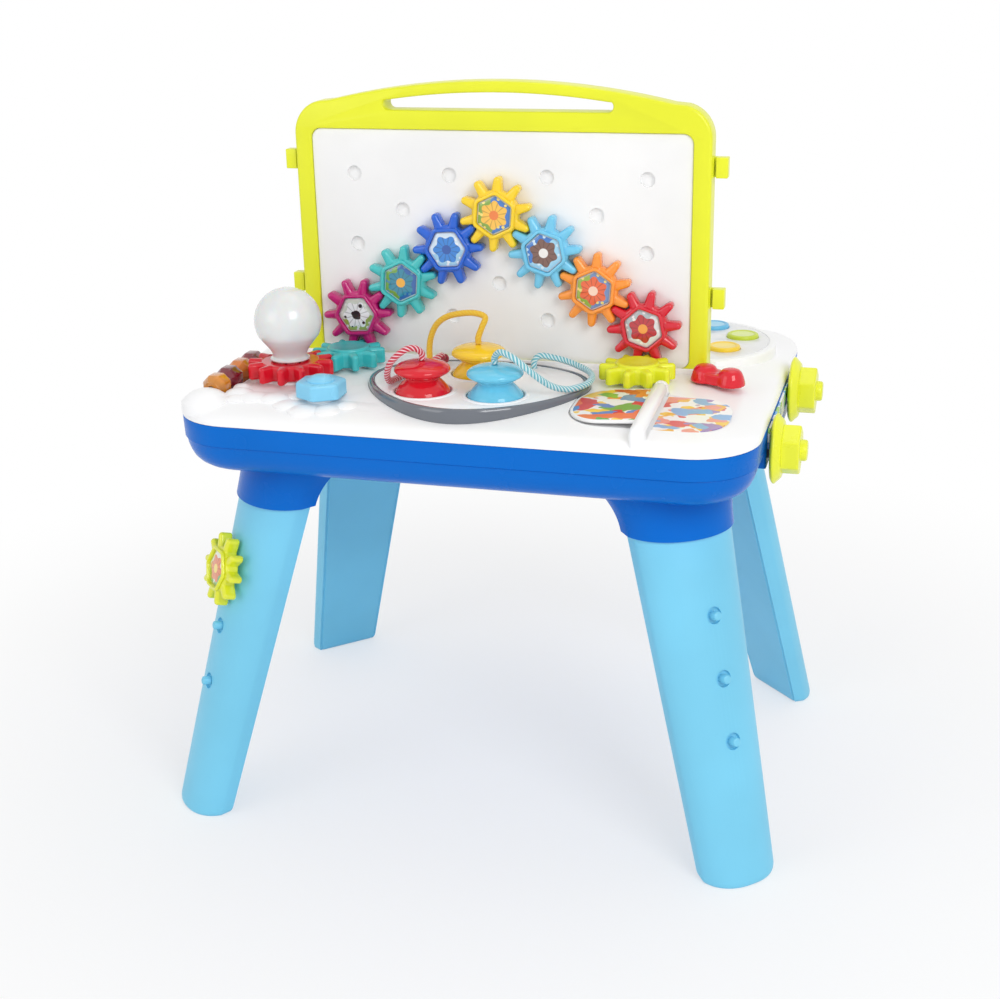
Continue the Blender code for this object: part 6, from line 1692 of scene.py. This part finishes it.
# Studio: white paper under and behind the table, a large soft light from the right and above,
# and weaker ones from the left and overhead, so that the shadow falls softly to the left.
PAPER_SIZE = 30
PAPER_GLOW = 0.55
WORLD_STRENGTH = 0.63
LIGHT_AIM = Vector((0, 0, 0.35))
paper = bpy.data.meshes.new("studio_floor")
paper.from_pydata([(-PAPER_SIZE, -PAPER_SIZE, 0), (PAPER_SIZE, -PAPER_SIZE, 0),
                   (PAPER_SIZE, PAPER_SIZE, 0), (-PAPER_SIZE, PAPER_SIZE, 0)], [], [(0, 1, 2, 3)])
floor = bpy.data.objects.new("studio_floor", paper)
bpy.context.scene.collection.objects.link(floor)
floor_finish = Finish("studio_paper", (0.95, 0.95, 0.95), 0.9)
ray_names = ("Is Camera Ray", "Is Glossy Ray", "Is Transmission Ray")
rays = [floor_finish.node("LightPath", output=name) for name in ray_names]
seen = rays[0].math("MAXIMUM", rays[1]).math("MAXIMUM", rays[2])
glow = floor_finish.node("Emission", inputs={"Color": (1, 1, 1, 1), "Strength": 1.0})
shaded = Value(floor_finish, floor_finish.shader.outputs[0])
paper_x, paper_y = floor_finish.split(floor_finish.place())[:2]
away = (paper_x * paper_x + paper_y * paper_y).math("SQRT").soft_step(0.30, 0.85)
blend = floor_finish.node("MixShader", inputs={0: seen * (away * (1 - PAPER_GLOW) + PAPER_GLOW),
                                               1: shaded, 2: glow})
floor_finish.link(floor_finish.tree.nodes["Material Output"].inputs["Surface"], blend)
paper.materials.append(floor_finish.material)

world = bpy.data.worlds.new("studio")
world.use_nodes = True
bpy.context.scene.world = world
world_tree = world.node_tree
path = world_tree.nodes.new("ShaderNodeLightPath")
seen_socket = path.outputs[ray_names[0]]
for ray_name in ray_names[1:]:
    either = world_tree.nodes.new("ShaderNodeMath")
    either.operation = "MAXIMUM"
    world_tree.links.new(seen_socket, either.inputs[0])
    world_tree.links.new(path.outputs[ray_name], either.inputs[1])
    seen_socket = either.outputs[0]
strength = world_tree.nodes.new("ShaderNodeMapRange")
strength.inputs["To Min"].default_value = WORLD_STRENGTH
strength.inputs["To Max"].default_value = 1.0
world_tree.links.new(seen_socket, strength.inputs["Value"])
world_tree.links.new(strength.outputs["Result"], world_tree.nodes["Background"].inputs["Strength"])
world_tree.nodes["Background"].inputs["Color"].default_value = (1, 1, 1, 1)


def softbox(name, place, size, power):
    """A square studio light, turned towards the deck's middle."""
    lamp = bpy.data.lights.new(name, "AREA")
    lamp.size = size
    lamp.energy = power
    light = bpy.data.objects.new(name, lamp)
    light.location = place
    light.rotation_euler = (LIGHT_AIM - Vector(place)).to_track_quat("-Z", "Y").to_euler()
    bpy.context.scene.collection.objects.link(light)


softbox("key_light", (1.3, -1.5, 1.5), 1.0, 18)
softbox("fill_light", (-1.4, -1.7, 1.1), 1.2, 7)
softbox("top_light", (0.2, 0.6, 2.2), 1.4, 5)
